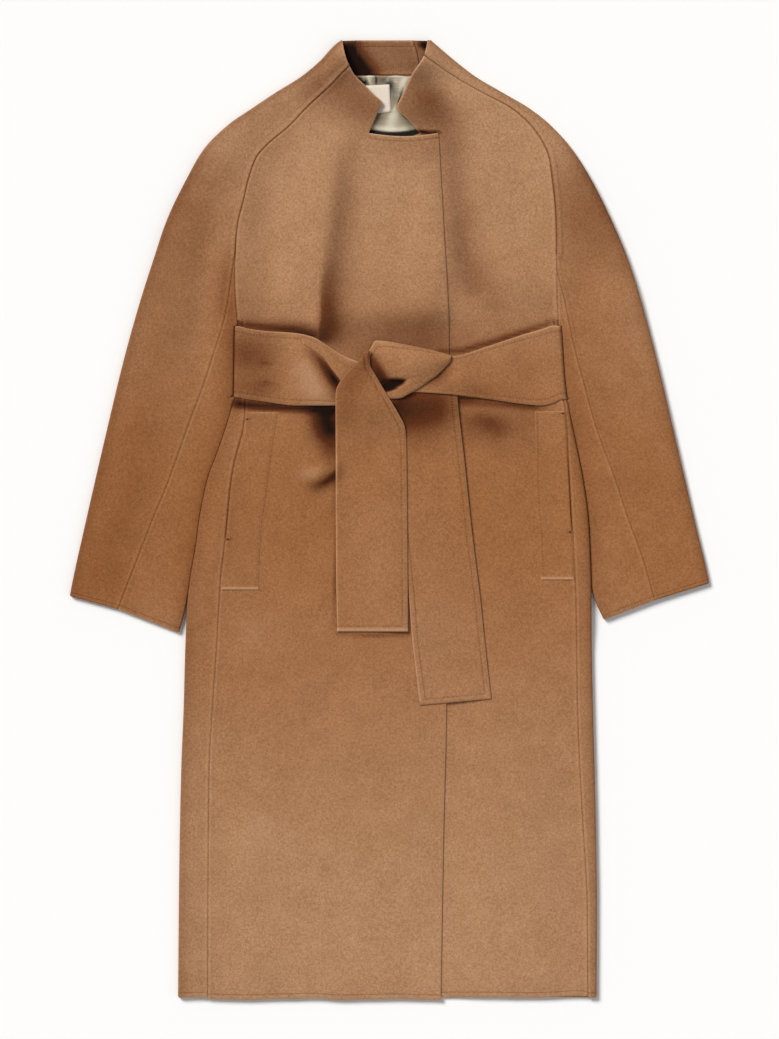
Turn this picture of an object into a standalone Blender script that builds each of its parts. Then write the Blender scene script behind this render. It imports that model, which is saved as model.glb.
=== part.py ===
"""A wool wrap coat with its own tie belt, laid flat on its back.

Every panel is a single wall of cloth. The tables are in millimetres: X runs across
the coat, with the wearer's right side at -X, Y runs up to the collar and Z is up.
The origin is on the surface under the middle of the coat.
"""

import math

import bmesh
import bpy

MM = 0.001

# Driving sizes
WALL = 2.4  # double-faced wool
BELT_WALL = 3.0  # two layers of the wool, sewn together
LINING_WALL = 1.0
LABEL_WALL = 0.8
WELT_WALL = 1.2
SEAM_GAP = 0.3
SEAM_INSET = SEAM_GAP / 2  # each side of a seam
LAY_GAP = 0.4  # between two layers that lie on each other
WELT_GAP = 0.7
BELT_GAP = 0.7
REST = WALL / 2  # middle of a wall that lies on the surface
TOP_LAYER = 7.0  # middle of the upper layer, over the back and the underlap
UNDERLAP = 4.0  # middle of the underlap where the right front covers it
BODY_FOLD = 6.4  # height of the fold at the body's side, middle to middle
CUFF_FOLD = 3.8  # height of the inner sleeve fold, middle to middle
BELT_LIFT = BELT_WALL + LAY_GAP
ARMPIT = 247.0
HEM = -598.0
NECK_CENTRE = (-2.0, 517.0)
NECK_RISE = 8.0
NECK_REACH = 72.0
FOLD_STEPS = 5

# Rows that the panels share at their seams, from the neck to the armpit and the hem
NECK_ROWS = [597, 588, 577, 566]
CHEST_ROWS = [554, 541, 528, 519, 513, 498, 481, 468, 451, 423, 397, 369, 336, 318, 303, 277, 250]
SKIRT_ROWS = [247, 240, 226, 208, 180, 152, 145, 134, 118, 102, 86, 70, 52, 32, 6, -30, -77,
              -104, -152, -227, -302, -389, -477, -552, -588, HEM]

# Rows of a sleeve below the armpit, at its inner fold, down to the cuff's inner end
INNER_ROWS = [247, 243, 230, 212, 192, 172, 152, 145, 130, 108, 82, 54, 24, -6, -36, -64, -88,
              -106, -124]
CUFF_INNER = (-142.0, -126.0)
CUFF_OUTER = (-97.0, -81.0)
CUFF_SEAM_DROP = (16.0, 21.0)

# Raglan seam: y, x on the right front, x on the left front
RAGLAN = [
    (577, -55.0, 43.0),
    (566, -58.0, 59.0),
    (554, -61.0, 77.0),
    (541, -73.0, 99.0),
    (528, -87.0, 123.0),
    (513, -103.0, 151.0),
    (489, -126.0, 178.0),
    (468, -151.0, 192.0),
    (451, -166.0, 199.0),
    (423, -176.0, 203.0),
    (397, -182.0, 206.0),
    (369, -189.0, 207.5),
    (339, -192.0, 208.0),
    (303, -193.0, 209.0),
    (277, -192.0, 209.5),
    (247, -190.0, 210.5),
]

# Seam between the upper and the under sleeve: y, x on the right, x on the left
SLEEVE_SEAM = [
    (336, -192.2, 208.1),
    (318, -194.8, 208.7),
    (303, -197.0, 210.6),
    (276, -201.0, 218.0),
    (246, -207.0, 224.0),
    (214, -217.0, 231.0),
    (173, -230.0, 242.0),
    (117, -251.0, 257.5),
    (44, -277.0, 284.0),
    (1, -295.0, 298.0),
    (-51, -315.0, 317.0),
    (-113, -339.0, 334.0),
]

# Outer edge of the shoulders and sleeves: y, x on the right, x on the left
OUTLINE = [
    (598, -58.0, 50.0),
    (591, -68.0, 58.0),
    (571, -87.0, 82.0),
    (551, -111.0, 108.0),
    (531, -143.0, 142.0),
    (511, -173.0, 176.0),
    (491, -202.0, 201.0),
    (461, -232.0, 228.0),
    (423, -254.0, 252.0),
    (373, -278.0, 277.0),
    (323, -295.0, 298.0),
    (273, -311.0, 314.0),
    (198, -332.0, 334.0),
    (98, -356.0, 357.5),
    (-2, -379.0, 381.0),
    (-81, -396.5, 399.4),
    (-97, -399.4, 402.0),
]

# How far a sleeve row climbs from the seam to the outer edge: y at the seam, climb
SHOULDER_CLIMB = [
    (597, -1.0),
    (577, 1.0),
    (554, 1.0),
    (528, 5.0),
    (498, 9.0),
    (468, 15.0),
    (451, 16.0),
    (423, 13.0),
    (397, 7.0),
    (369, 1.0),
    (336, 0.0),
]

# Sides of the body: y, right edge, right seam, left seam, left edge
SIDES = [
    (247, -188.5, -183.5, 205.0, 209.5),
    (236, -189.0, -183.5, 206.0, 210.5),
    (152, -190.5, -180.0, 214.0, 217.5),
    (145, -194.5, -180.5, 218.0, 221.5),
    (134, -197.0, -180.5, 219.5, 223.5),
    (111, -204.0, -182.5, 222.0, 228.0),
    (83, -213.5, -191.0, 223.0, 234.0),
    (49, -226.0, -198.0, 225.0, 240.5),
    (1, -236.0, -203.0, 227.5, 247.0),
    (-33, -240.5, -206.0, 230.0, 249.0),
    (-77, -248.0, -211.0, 232.0, 250.5),
    (-102, -251.0, -212.5, 233.0, 251.0),
    (-164, -254.0, -216.0, 234.0, 251.5),
    (-236, -256.0, -221.0, 235.0, 253.0),
    (-312, -259.0, -225.0, 238.0, 255.0),
    (-402, -261.0, -226.0, 243.0, 257.0),
    (-478, -262.0, -226.5, 247.0, 258.0),
    (HEM, -263.0, -227.0, 248.0, 257.5),
]

# Room between the body's edge and the inner sleeve fold: y, right, left
SLEEVE_ROOM = [
    (247, 3.0, 3.0),
    (243, 6.8, 6.8),
    (152, 6.8, 6.8),
    (145, 2.2, 2.2),
    (130, 1.9, 1.9),
    (-80, 1.9, 1.9),
    (-102, 3.0, 7.0),
    (-126, 7.0, 17.5),
    (-142, 11.0, 24.0),
]

# Free edge of the collar and neck: y, x on the right front, x on the left front
NECK_EDGE = [
    (597, -59.0, 48.0),
    (577, -55.0, 43.0),
    (554, -44.0, 28.0),
    (541, -31.0, 22.0),
    (528, -18.5, 16.0),
    (519, -9.0, 11.5),
    (513, -12.0, 9.0),
    (498, -18.5, 23.0),
    (481, -26.0, 38.0),
]
COLLAR_SEAM_X = (-42.0, 32.0)  # back ends of the collar's sides
COLLAR_SEAM_Y = 554.0

# Back raglan seam, on the underside: y, x on the right, x on the left
BACK_RAGLAN = [
    (554, -45.0, 35.0),
    (528, -70.0, 95.0),
    (498, -105.0, 145.0),
    (451, -152.0, 190.0),
    (397, -178.0, 203.0),
    (336, -192.2, 208.1),
]

# Front edge of the right front: y, x
OVERLAP_EDGE = [
    (481, 61.0),
    (373, 67.0),
    (223, 74.0),
    (-231, 71.0),
    (-414, 67.0),
    (HEM - 3, 64.0),
]
NECKLINE_DIP = 4.0
FRONT_RIGHT_INNER = -26.0  # line below the corner of the right front's neckline
FRONT_LEFT_INNER = 38.0  # line below the corner of the left front's notch
UNDERLAP_EDGE = -75.0
UNDERLAP_NECK = 471.0

# Edges of the belt where it lies on the fronts: x, top y, bottom y
BELT_EDGES = [
    (-194, 239.0, 151.0),
    (-157, 234.0, 146.0),
    (-116, 231.0, 141.0),
    (-96, 226.0, 141.0),
    (-82, 218.0, 141.0),
    (-59, 204.0, 141.0),
    (-43, 198.0, 143.0),
    (33, 203.0, 159.0),
    (77, 202.0, 155.0),
    (124, 215.0, 149.0),
    (166, 229.0, 143.0),
    (190, 236.0, 141.0),
    (209, 242.0, 146.0),
    (221, 242.0, 152.0),
]
BELT_TOP_Y = 241.0
BELT_BOTTOM_Y = 151.5
BELT_LEFT_END = -62.0
BELT_RIGHT_END = 40.0

# Turned stretch of the belt: top x, top y, lower x, lower y, puff in the middle
BELT_TURN = [
    (-104, 228.5, -105, 224.0, 0.5),
    (-94, 225.5, -97, 213.0, 1.5),
    (-82, 218.5, -86.5, 200.0, 1.8),
    (-70, 210.5, -75, 185.0, 1.5),
    (-59, 204.0, -64, 171.0, 0.8),
    (-48, 200.5, -53, 165.0, 0.0),
    (-37, 198.5, -42, 161.0, 0.0),
]

# Loop of the knot: top x, top y, lower x, lower y, rise over the coat, crown
BELT_LOOP = [
    (-31, 203.0, -9, 151.0, 3.6, 0.0),
    (-24, 211.0, 1, 149.5, 3.7, 0.5),
    (-17, 221.5, 12, 150.0, 4.6, 3.0),
    (-7, 221.0, 25, 156.0, 6.6, 6.0),
    (14, 217.5, 37, 163.0, 7.2, 7.5),
    (34, 213.5, 48, 171.0, 7.2, 7.0),
    (52, 209.5, 58, 178.0, 7.2, 5.5),
    (67, 205.5, 67, 187.0, 7.2, 3.0),
    (77, 202.5, 75, 196.0, 7.2, 1.0),
]

LOOP_HOLLOW = 3.5
TAIL_LIFT = 8.8  # of the front end where it comes out of the knot

# Hanging ends of the belt: y, left x, right x
TAIL_FRONT = [
    (209, -29.0, -24.5),
    (194, -40.0, -25.0),
    (178, -56.0, -17.0),
    (157, -67.0, -5.0),
    (129, -67.0, 12.0),
    (114, -67.0, 19.0),
    (92, -67.0, 21.0),
    (-56, -66.5, 22.5),
    (-141, -65.0, 23.0),
]
TAIL_REAR = [
    (163, 4.0, 84.0),
    (148, -1.0, 85.0),
    (84, 6.0, 92.0),
    (-18, 16.0, 103.0),
    (-107, 25.0, 114.0),
    (-146, 28.0, 118.0),
    (-227, 38.0, 127.0),
]

# Inner edges of the pocket welts: y, x on the right front, x on the left front
WELTS = [
    (134, -138.0, 181.0),
    (93, -145.0, 182.0),
    (39, -152.0, 182.5),
    (-8, -159.0, 186.0),
    (-57, -162.0, 188.5),
    (-86, -163.0, 189.5),
]
WELT_TOPS = (133.0, 134.0)
WELT_BOTTOMS = (-86.0, -77.0)

# Largest folds, as soft ridges: x, y, height at the start; x, y, height at the end;
# half width on the left and on the right of that direction
FOLDS = [
    (-70, 440, 1.5, -112, 285, 9.0, 22, 62),
    (-108, 275, 6.0, -170, 280, 4.0, 26, 30),
    (-40, 330, 2.0, 30, 290, 7.0, 44, 40),
    (95, 300, 6.0, 175, 290, 5.0, 40, 30),
    (110, 430, 3.0, 150, 330, 2.0, 40, 40),
    (-138, 92, 2.0, -112, 80, 4.5, 24, 24),
    (-114, 80, 4.5, -94, 48, 5.0, 24, 22),
    (96, 92, 3.0, 160, 88, 3.5, 30, 26),
    (-150, -120, 2.0, 120, -90, 1.5, 60, 60),
]

WOOL = (0.33, 0.135, 0.048, 1.0)
WOOL_UNDER = (0.27, 0.105, 0.04, 1.0)
SATIN = (0.24, 0.22, 0.16, 1.0)
CREAM = (0.72, 0.62, 0.48, 1.0)


# ---------------------------------------------------------------- curves and steps


def step(value, start, end):
    """Smooth step from 0 at start to 1 at end."""
    t = min(max((value - start) / (end - start), 0.0), 1.0)
    return t * t * (3.0 - 2.0 * t)


def bell(distance, width):
    return math.exp(-((distance / width) ** 2))


def mix(a, b, t):
    return a + (b - a) * t


def read(table, key, column=1):
    """One column of a table at a key, on a smooth curve that never overshoots."""
    rows = sorted(table, key=lambda row: row[0])
    keys = [row[0] for row in rows]
    values = [row[column] for row in rows]
    if key <= keys[0]:
        return values[0]
    if key >= keys[-1]:
        return values[-1]
    last = len(keys) - 2
    i = max(k for k in range(last + 1) if keys[k] <= key)

    def slope(k):
        return (values[k + 1] - values[k]) / (keys[k + 1] - keys[k])

    def tangent(k):
        if k == 0:
            return slope(0)
        if k == last + 1:
            return slope(last)
        before, after = slope(k - 1), slope(k)
        return 2.0 * before * after / (before + after) if before * after > 0.0 else 0.0

    span = keys[i + 1] - keys[i]
    t = (key - keys[i]) / span
    rise = values[i + 1] - values[i]
    start, end = tangent(i) * span, tangent(i + 1) * span
    return values[i] + t * (start + t * (3 * rise - 2 * start - end + t * (start + end - 2 * rise)))


def side_column(side):
    """Column of a two-sided table: the right side is -1, the left side is +1."""
    return 1 if side < 0 else 2


# ---------------------------------------------------------------- heights of the layers


def body_edge(y, side):
    return read(SIDES, y, 1 if side < 0 else 4)


def side_seam(y, side):
    return read(SIDES, y, 2 if side < 0 else 3)


def belt_band(y):
    """1 over the belt's way round the back, 0 away from it."""
    return step(y, 110.0, 146.0) * step(y, 292.0, ARMPIT)


def belt_top(x):
    knot = 21.0 * bell(x - 8.0, 38.0)
    return read(BELT_EDGES, x, 1) + knot


def fold_height(x, y, fold):
    x1, y1, h1, x2, y2, h2, left, right = fold
    length = math.hypot(x2 - x1, y2 - y1)
    ux, uy = (x2 - x1) / length, (y2 - y1) / length
    along = (x - x1) * ux + (y - y1) * uy
    across = ux * (y - y1) - uy * (x - x1)
    beyond = max(-along, along - length, 0.0)
    height = mix(h1, h2, min(max(along / length, 0.0), 1.0))
    width = left if across > 0 else right
    return height * bell(across, width) * bell(beyond, 0.5 * (left + right))


def relief(x, y):
    """Folds and puffs of the upper layer, which the belt presses down."""
    free = max(step(y, belt_top(x) + 2.0, belt_top(x) + 32.0),
               step(y, read(BELT_EDGES, x, 2) - 2.0, read(BELT_EDGES, x, 2) - 32.0))
    folds = sum(fold_height(x, y, fold) for fold in FOLDS)
    reach = math.hypot(x - NECK_CENTRE[0], y - NECK_CENTRE[1])
    return free * folds + NECK_RISE * bell(reach, NECK_REACH)


def side_top(y):
    """Middle of the wall at the top of the body's side fold."""
    if y > ARMPIT:
        return TOP_LAYER + (REST + BELT_LIFT + BODY_FOLD - TOP_LAYER) * step(y, 330.0, ARMPIT)
    return side_bottom(y) + BODY_FOLD


def side_bottom(y):
    """Middle of the wall under the body's side fold, raised where a sleeve lies beside it."""
    if y > ARMPIT:
        return REST + BELT_LIFT * belt_band(y)
    return REST + BELT_LIFT * step(y, -170.0, -120.0)


def armpit_reach(y):
    """1 at the armpit, falling to 0 down the inner sleeve fold."""
    return bell(ARMPIT - y, 25.0) if y < ARMPIT else 1.0


def inboard(x, y):
    """Distance from the nearer side of the body, inwards."""
    side = -1 if x < 10.0 else 1
    if y > ARMPIT:
        return abs(read(RAGLAN, y, side_column(side)) - x)
    return max(0.0, abs(body_edge(y, side) - x) - BODY_FOLD / 2)


def upper(x, y):
    """Middle of the upper layer of the body."""
    flat = TOP_LAYER + BELT_LIFT * belt_band(y)
    return flat + (side_top(y) - flat) * bell(inboard(x, y), 30.0) + relief(x, y)


def lower(x, y):
    """Middle of the back, on the surface and over the belt."""
    flat = REST + BELT_LIFT * belt_band(y)
    return flat + (side_bottom(y) - flat) * bell(inboard(x, y), 22.0)


def underlap(x, y):
    """Middle of the left front: under the right front, and free of it past its edge."""
    covered = UNDERLAP + BELT_LIFT * belt_band(y) + 0.6 * (
        upper(x, y) - TOP_LAYER - BELT_LIFT * belt_band(y))
    edge = read(OVERLAP_EDGE, y)
    return mix(covered, upper(x, y), step(x, edge + 4.0, edge + 50.0))


def sleeve_inner(y, side):
    """Outermost middle of the inner sleeve fold, beside the body."""
    return body_edge(y, side) + side * read(SLEEVE_ROOM, y, side_column(side))


def sleeve_bounds(y, side):
    if y > ARMPIT:
        return read(RAGLAN, y, side_column(side))
    return sleeve_inner(y, side) + side * CUFF_FOLD / 2


def sleeve_upper(x, y, side):
    """Middle of the upper layer of a sleeve."""
    outboard = max(0.0, side * (x - sleeve_bounds(y, side)))
    top = side_top(y)
    if y < ARMPIT:
        top = REST + CUFF_FOLD + (BELT_LIFT + BODY_FOLD - CUFF_FOLD) * armpit_reach(y)
    return TOP_LAYER + (top - TOP_LAYER) * bell(outboard, 28.0) + relief(x, y)


def sleeve_lower(x, y, side):
    """Middle of the lower layer of a sleeve."""
    outboard = max(0.0, side * (x - sleeve_bounds(y, side)))
    raised = armpit_reach(y) if y < ARMPIT else belt_band(y)
    return REST + BELT_LIFT * raised * bell(outboard, 25.0)


# ---------------------------------------------------------------- meshes and objects


def material(name, colour, roughness):
    made = bpy.data.materials.new(name)
    made.use_nodes = True
    shader = made.node_tree.nodes["Principled BSDF"]
    shader.inputs["Base Color"].default_value = colour
    shader.inputs["Roughness"].default_value = roughness
    return made


def sheet(name, rows, wall, collection, finish, kept=None):
    """A wall of cloth through rows of points. kept(i, j) says which faces are cloth."""
    count, width = len(rows), len(rows[0])
    grid = bmesh.new()
    bmesh.ops.create_grid(grid, x_segments=width - 1, y_segments=count - 1, size=1.0)
    grid.verts.ensure_lookup_table()
    order = sorted(grid.verts, key=lambda v: (-round(v.co.y, 5), round(v.co.x, 5)))
    place = {vert: (k // width, k % width) for k, vert in enumerate(order)}
    for vert, (i, j) in place.items():
        vert.co = [value * MM for value in rows[i][j]]
    if kept:
        cut = [face for face in grid.faces
               if not kept(min(place[v][0] for v in face.verts), min(place[v][1] for v in face.verts))]
        bmesh.ops.delete(grid, geom=cut, context="FACES")
    bmesh.ops.recalc_face_normals(grid, faces=grid.faces)
    mesh = bpy.data.meshes.new(name)
    grid.to_mesh(mesh)
    grid.free()
    mesh.shade_smooth()
    mesh.materials.append(finish)
    made = bpy.data.objects.new(name, mesh)
    collection.objects.link(made)
    thick = made.modifiers.new("wall", "SOLIDIFY")
    thick.thickness = wall * MM
    thick.offset = 0.0
    thick.use_even_offset = False
    return made


def spaced(start, end, steps):
    return [mix(start, end, k / steps) for k in range(steps + 1)]


def towards(point, other, distance):
    """A point moved in plan towards another, to leave the gap of a seam."""
    dx, dy = other[0] - point[0], other[1] - point[1]
    length = math.hypot(dx, dy)
    return (point[0] + dx * distance / length, point[1] + dy * distance / length)


def fold_points(outermost, direction, top, bottom):
    """Half a turn of cloth at a folded edge, from its top to its underside."""
    radius = (top - bottom) / 2
    middle = (top + bottom) / 2
    centre = (outermost[0] - direction[0] * radius, outermost[1] - direction[1] * radius)
    points = []
    for k in range(FOLD_STEPS + 1):
        angle = math.pi / 2 - math.pi * k / FOLD_STEPS
        reach = radius * math.cos(angle)
        points.append((centre[0] + direction[0] * reach, centre[1] + direction[1] * reach,
                       middle + radius * math.sin(angle)))
    return points


def folded_row(start, outermost, end, top_of, bottom_of, top_steps, bottom_steps):
    """One row of a tube: the upper layer, the folded edge and the lower layer."""
    length = math.hypot(outermost[0] - start[0], outermost[1] - start[1])
    direction = ((outermost[0] - start[0]) / length, (outermost[1] - start[1]) / length)
    inset = 0.5 * (top_of(*outermost) - bottom_of(*outermost))
    turn = (outermost[0] - direction[0] * inset, outermost[1] - direction[1] * inset)
    top = [(mix(start[0], turn[0], t), mix(start[1], turn[1], t)) for t in spaced(0, 1, top_steps)]
    low = [(mix(turn[0], end[0], t), mix(turn[1], end[1], t)) for t in spaced(0, 1, bottom_steps)]
    row = [(x, y, top_of(x, y)) for x, y in top[:-1]]
    row += fold_points(outermost, direction, top_of(*turn), bottom_of(*turn))
    row += [(x, y, bottom_of(x, y)) for x, y in low[1:]]
    return row


# ---------------------------------------------------------------- panels


def block_row(start, end, y_of, height, steps):
    """Points from start to end in X on a row, at the height of a layer."""
    return [(x, y_of(x), height(x, y_of(x))) for x in spaced(start, end, steps)]


def front_edge_seam(y, side):
    """Where a front meets its sleeve above the armpit, and the side strip below it."""
    seam = read(RAGLAN, y, side_column(side)) if y > ARMPIT else side_seam(y, side)
    return seam - side * SEAM_INSET


def front_right(collection, finish):
    """The right front lies on top. Its neckline is a square corner with a slight dip."""
    main_steps, flap_steps = 9, 4
    rows = NECK_ROWS[2:] + CHEST_ROWS + SKIRT_ROWS
    neckline = rows.index(481)
    points = []
    for i, y in enumerate(rows):
        inner = read(NECK_EDGE, y, 1) if i < neckline else FRONT_RIGHT_INNER
        edge = read(OVERLAP_EDGE, y)
        hem = 0.0 if y > HEM else -2.0
        left = block_row(front_edge_seam(y, -1), inner, lambda x: y + hem, upper, main_steps)

        def curve(x):
            t = (x - FRONT_RIGHT_INNER) / (edge - FRONT_RIGHT_INNER)
            dip = NECKLINE_DIP * math.sin(math.pi * min(max(t, 0.0), 1.0)) if i <= neckline else 0.0
            return y - dip + hem * mix(1.0, 1.6, t)

        right = block_row(inner, edge, curve, upper, flap_steps)
        points.append(left + right[1:])
    return sheet("front_right", points, WALL, collection, finish,
                 kept=lambda i, j: j < main_steps or i >= neckline)


def front_left(collection, finish):
    """The left front runs on under the right one to its own straight edge."""
    main_steps, flap_steps = 8, 4
    rows = NECK_ROWS[2:] + CHEST_ROWS + SKIRT_ROWS
    neckline = rows.index(481)
    points = []
    for i, y in enumerate(rows):
        inner = read(NECK_EDGE, y, 2) if i < neckline else FRONT_LEFT_INNER
        height = underlap
        main = block_row(front_edge_seam(y, 1), inner, lambda x: y, height, main_steps)

        def curve(x):
            drop = (y - UNDERLAP_NECK) * step(x, FRONT_LEFT_INNER, FRONT_LEFT_INNER - 20.0)
            return y - max(drop, 0.0)

        flap = block_row(inner, UNDERLAP_EDGE, curve, height, flap_steps)
        points.append(main + flap[1:])
    return sheet("front_left", points, WALL, collection, finish,
                 kept=lambda i, j: j < main_steps or i >= neckline)


def back(collection, finish):
    """The back, with the strips that come round both sides to the forward seams."""
    strip_steps, middle_steps = 1, 9
    half_fold = FOLD_STEPS // 2
    rows = CHEST_ROWS + SKIRT_ROWS
    armpit = len(CHEST_ROWS)
    points = []
    for y in rows:
        row = []
        for side in (-1, 1):
            if y > ARMPIT:
                seam = back_seam(y, side) - side * SEAM_INSET
                spread = spaced(seam + side * 0.4, seam - side * 3.2, strip_steps + FOLD_STEPS)
                half = [(x, y, lower(x, y)) for x in spread]
            else:
                start = (side_seam(y, side) + side * SEAM_INSET, y)
                outermost = (body_edge(y, side), y)
                radius = BODY_FOLD / 2
                turn_x = outermost[0] - side * radius
                strip = spaced(start[0], turn_x, strip_steps)
                half = [(x, y, upper(x, y)) for x in strip[:-1]]
                half += fold_points(outermost, (side, 0.0), side_top(y), side_bottom(y))
            row.append(half)
        left, right = row
        middle = spaced(left[-1][0], right[-1][0], middle_steps)
        flat = [(x, y, lower(x, y)) for x in middle[1:-1]]
        points.append(left + flat + right[::-1])
    first = strip_steps + half_fold
    last = len(points[0]) - 2 - first
    return sheet("back", points, WALL, collection, finish,
                 kept=lambda i, j: i >= armpit or first < j < last)


def back_seam(y, side):
    """Back seam on the underside: collar, back raglan, then the sleeve's back seam."""
    column = side_column(side)
    if y > COLLAR_SEAM_Y:
        return COLLAR_SEAM_X[column - 1]
    if y > 336:
        return read(BACK_RAGLAN, y, column)
    return read(RAGLAN, y, column)


def sleeve_rows(side):
    """Seam point, outer point and inner point of each sleeve row below the armpit."""
    column = side_column(side)
    cuff_inner, cuff_outer = CUFF_INNER[column - 1], CUFF_OUTER[column - 1]
    rows = []
    for inner_y in [row for row in INNER_ROWS if row > cuff_inner + 8.0] + [cuff_inner]:
        t = (ARMPIT - inner_y) / (ARMPIT - cuff_inner)
        y = mix(ARMPIT, cuff_outer, t)
        seam_y = y - CUFF_SEAM_DROP[column - 1] * t
        seam = (read(SLEEVE_SEAM, seam_y, column), seam_y)
        outer = (read(OUTLINE, y, column) - side * REST, y)
        inner = (sleeve_inner(inner_y, side), inner_y)
        rows.append((seam, outer, inner))
    return rows


def sleeve_top_of(side):
    return lambda x, y: sleeve_upper(x, y, side)


def sleeve_bottom_of(side):
    return lambda x, y: sleeve_lower(x, y, side)


def upper_sleeve(name, side, collection, finish):
    """From the front seam over the shoulder and the outer fold to the back seam."""
    column = side_column(side)
    top_steps, bottom_steps = 7, 4
    points = []
    for y in NECK_ROWS + CHEST_ROWS:
        front_x = read(NECK_EDGE, y, column) if y > 577 else read(RAGLAN, y, column)
        if y <= 336:
            front_x = read(SLEEVE_SEAM, y, column)
        outer_y = y + read(SHOULDER_CLIMB, y)
        outer = (read(OUTLINE, outer_y, column) - side * REST, outer_y)
        front = towards((front_x, y), outer, SEAM_INSET)
        rear_x = back_seam(y, side) if y > 336 else front_x
        rear = towards((rear_x, y), outer, SEAM_INSET)
        points.append(folded_row(front, outer, rear, sleeve_top_of(side), sleeve_bottom_of(side),
                                 top_steps, bottom_steps))
    for seam, outer, _ in sleeve_rows(side):
        start = towards(seam, outer, SEAM_INSET)
        points.append(folded_row(start, outer, start, sleeve_top_of(side), sleeve_bottom_of(side),
                                 top_steps, bottom_steps))
    return sheet(name, points, WALL, collection, finish)


def under_sleeve(name, side, collection, finish):
    """From the front seam over the inner fold to the back seam, notched at the armpit."""
    column = side_column(side)
    top_steps, bottom_steps = 3, 3
    half_fold = FOLD_STEPS // 2
    first_y = 318 if side < 0 else 303
    wedge = [y for y in CHEST_ROWS if y <= first_y]
    top_count = top_steps + half_fold
    bottom_count = bottom_steps + half_fold
    points = []
    for y in wedge:
        seam_x = read(SLEEVE_SEAM, y, column) - side * SEAM_INSET
        body_x = read(RAGLAN, y, column) + side * SEAM_INSET
        top = [(x, y, sleeve_upper(x, y, side)) for x in spaced(seam_x, body_x, top_count)]
        low = [(x, y, sleeve_lower(x, y, side)) for x in spaced(body_x, seam_x, bottom_count)]
        points.append(top + low)
    for seam, outer, inner in sleeve_rows(side):
        start = towards(seam, inner, SEAM_INSET)
        points.append(folded_row(start, inner, start, sleeve_top_of(side), sleeve_bottom_of(side),
                                 top_steps, bottom_steps))
    return sheet(name, points, WALL, collection, finish,
                 kept=lambda i, j: i >= len(wedge) or j != top_count)


def collar_back(collection, finish):
    rows = NECK_ROWS + [COLLAR_SEAM_Y + SEAM_GAP]
    left, right = COLLAR_SEAM_X
    points = [block_row(left + SEAM_INSET, right - SEAM_INSET, lambda x: y, lambda x, y: REST, 6)
              for y in rows]
    return sheet("collar_back", points, WALL, collection, finish)


def lining(collection, finish):
    height = WALL + LAY_GAP + LINING_WALL / 2
    points = []
    for y in (552, 535, 515, 495, 475, 455):
        reach = step(y, 560, 500)
        points.append(block_row(mix(-40, -52, reach), mix(30, 46, reach), lambda x: y,
                                lambda x, y: height, 6))
    return sheet("lining", points, LINING_WALL, collection, finish)


def label(collection, finish):
    height = WALL + LAY_GAP + LINING_WALL + SEAM_GAP + LABEL_WALL / 2
    points = []
    for t in spaced(0, 1, 3):
        y = mix(542, 507, t)
        points.append([(x + 2.0 * t, y + 0.05 * x, height) for x in spaced(-30, 0, 3)])
    return sheet("label", points, LABEL_WALL, collection, finish)


def welt(name, side, collection, finish):
    """A long pocket welt made from the points of the front that it lies on."""
    column = side_column(side)
    layer = upper if side < 0 else underlap
    rise = WALL / 2 + WELT_GAP + WELT_WALL / 2
    points = []
    for y in spaced(WELT_TOPS[column - 1], WELT_BOTTOMS[column - 1], 14):
        outer = side_seam(y, side) - side * 2.0
        inner = read(WELTS, y, column)
        points.append([(x, y, layer(x, y) + rise) for x in spaced(outer, inner, 4)])
    return sheet(name, points, WELT_WALL, collection, finish)


# ---------------------------------------------------------------- belt


BELT_RISE = WALL / 2 + BELT_GAP + BELT_WALL / 2


def on_coat(x, y):
    """Middle of a belt stretch that lies on the fronts."""
    return upper(x, y) + BELT_RISE


def belt_round(collection, finish):
    """One strip: left stretch, round the side, under the back, round to the right stretch."""
    left_xs = [BELT_LEFT_END, -74, -88, -102, -118, -136, -154, -170]
    right_xs = [BELT_RIGHT_END, 52, 64, 77, 92, 108, 124, 142, 160, 178, 193]
    across = spaced(0.0, 1.0, 5)
    columns = []
    for t in across:
        y = mix(BELT_TOP_Y, BELT_BOTTOM_Y, t)
        column = []
        for side, stretch in ((-1, left_xs), (1, right_xs)):
            half = []
            for x in stretch:
                top_y = mix(read(BELT_EDGES, x, 1), read(BELT_EDGES, x, 2), t)
                end_x = x - 22.0 * t * step(x, 77.0, BELT_RIGHT_END) if side > 0 else x
                lift = BELT_LIFT * step(x, 112.0, 84.0) if side > 0 else 0.0
                half.append((end_x, top_y, on_coat(x, top_y) + lift))
            top = side_top(y) + BELT_RISE
            bottom = BELT_WALL / 2
            centre = body_edge(y, side) - side * BODY_FOLD / 2
            outermost = (centre + side * (top - bottom) / 2, y)
            half += fold_points(outermost, (side, 0.0), top, bottom)
            column.append(half)
        left, right = column
        under = spaced(left[-1][0], right[-1][0], 8)
        column = left + [(x, y, BELT_WALL / 2) for x in under[1:-1]] + right[::-1]
        columns.append(column)
    return sheet("belt_round", columns, BELT_WALL, collection, finish)


def belt_turn(collection, finish):
    """The stretch that turns over as it goes into the knot, on the left stretch."""
    points = []
    for top_x, top_y, low_x, low_y, puff in BELT_TURN:
        row = []
        for t in spaced(0, 1, 4):
            x, y = mix(top_x, low_x, t), mix(top_y, low_y, t)
            row.append((x, y, on_coat(x, y) + BELT_LIFT + puff * math.sin(math.pi * t)))
        points.append(row)
    return sheet("belt_turn", points, BELT_WALL, collection, finish)


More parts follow.
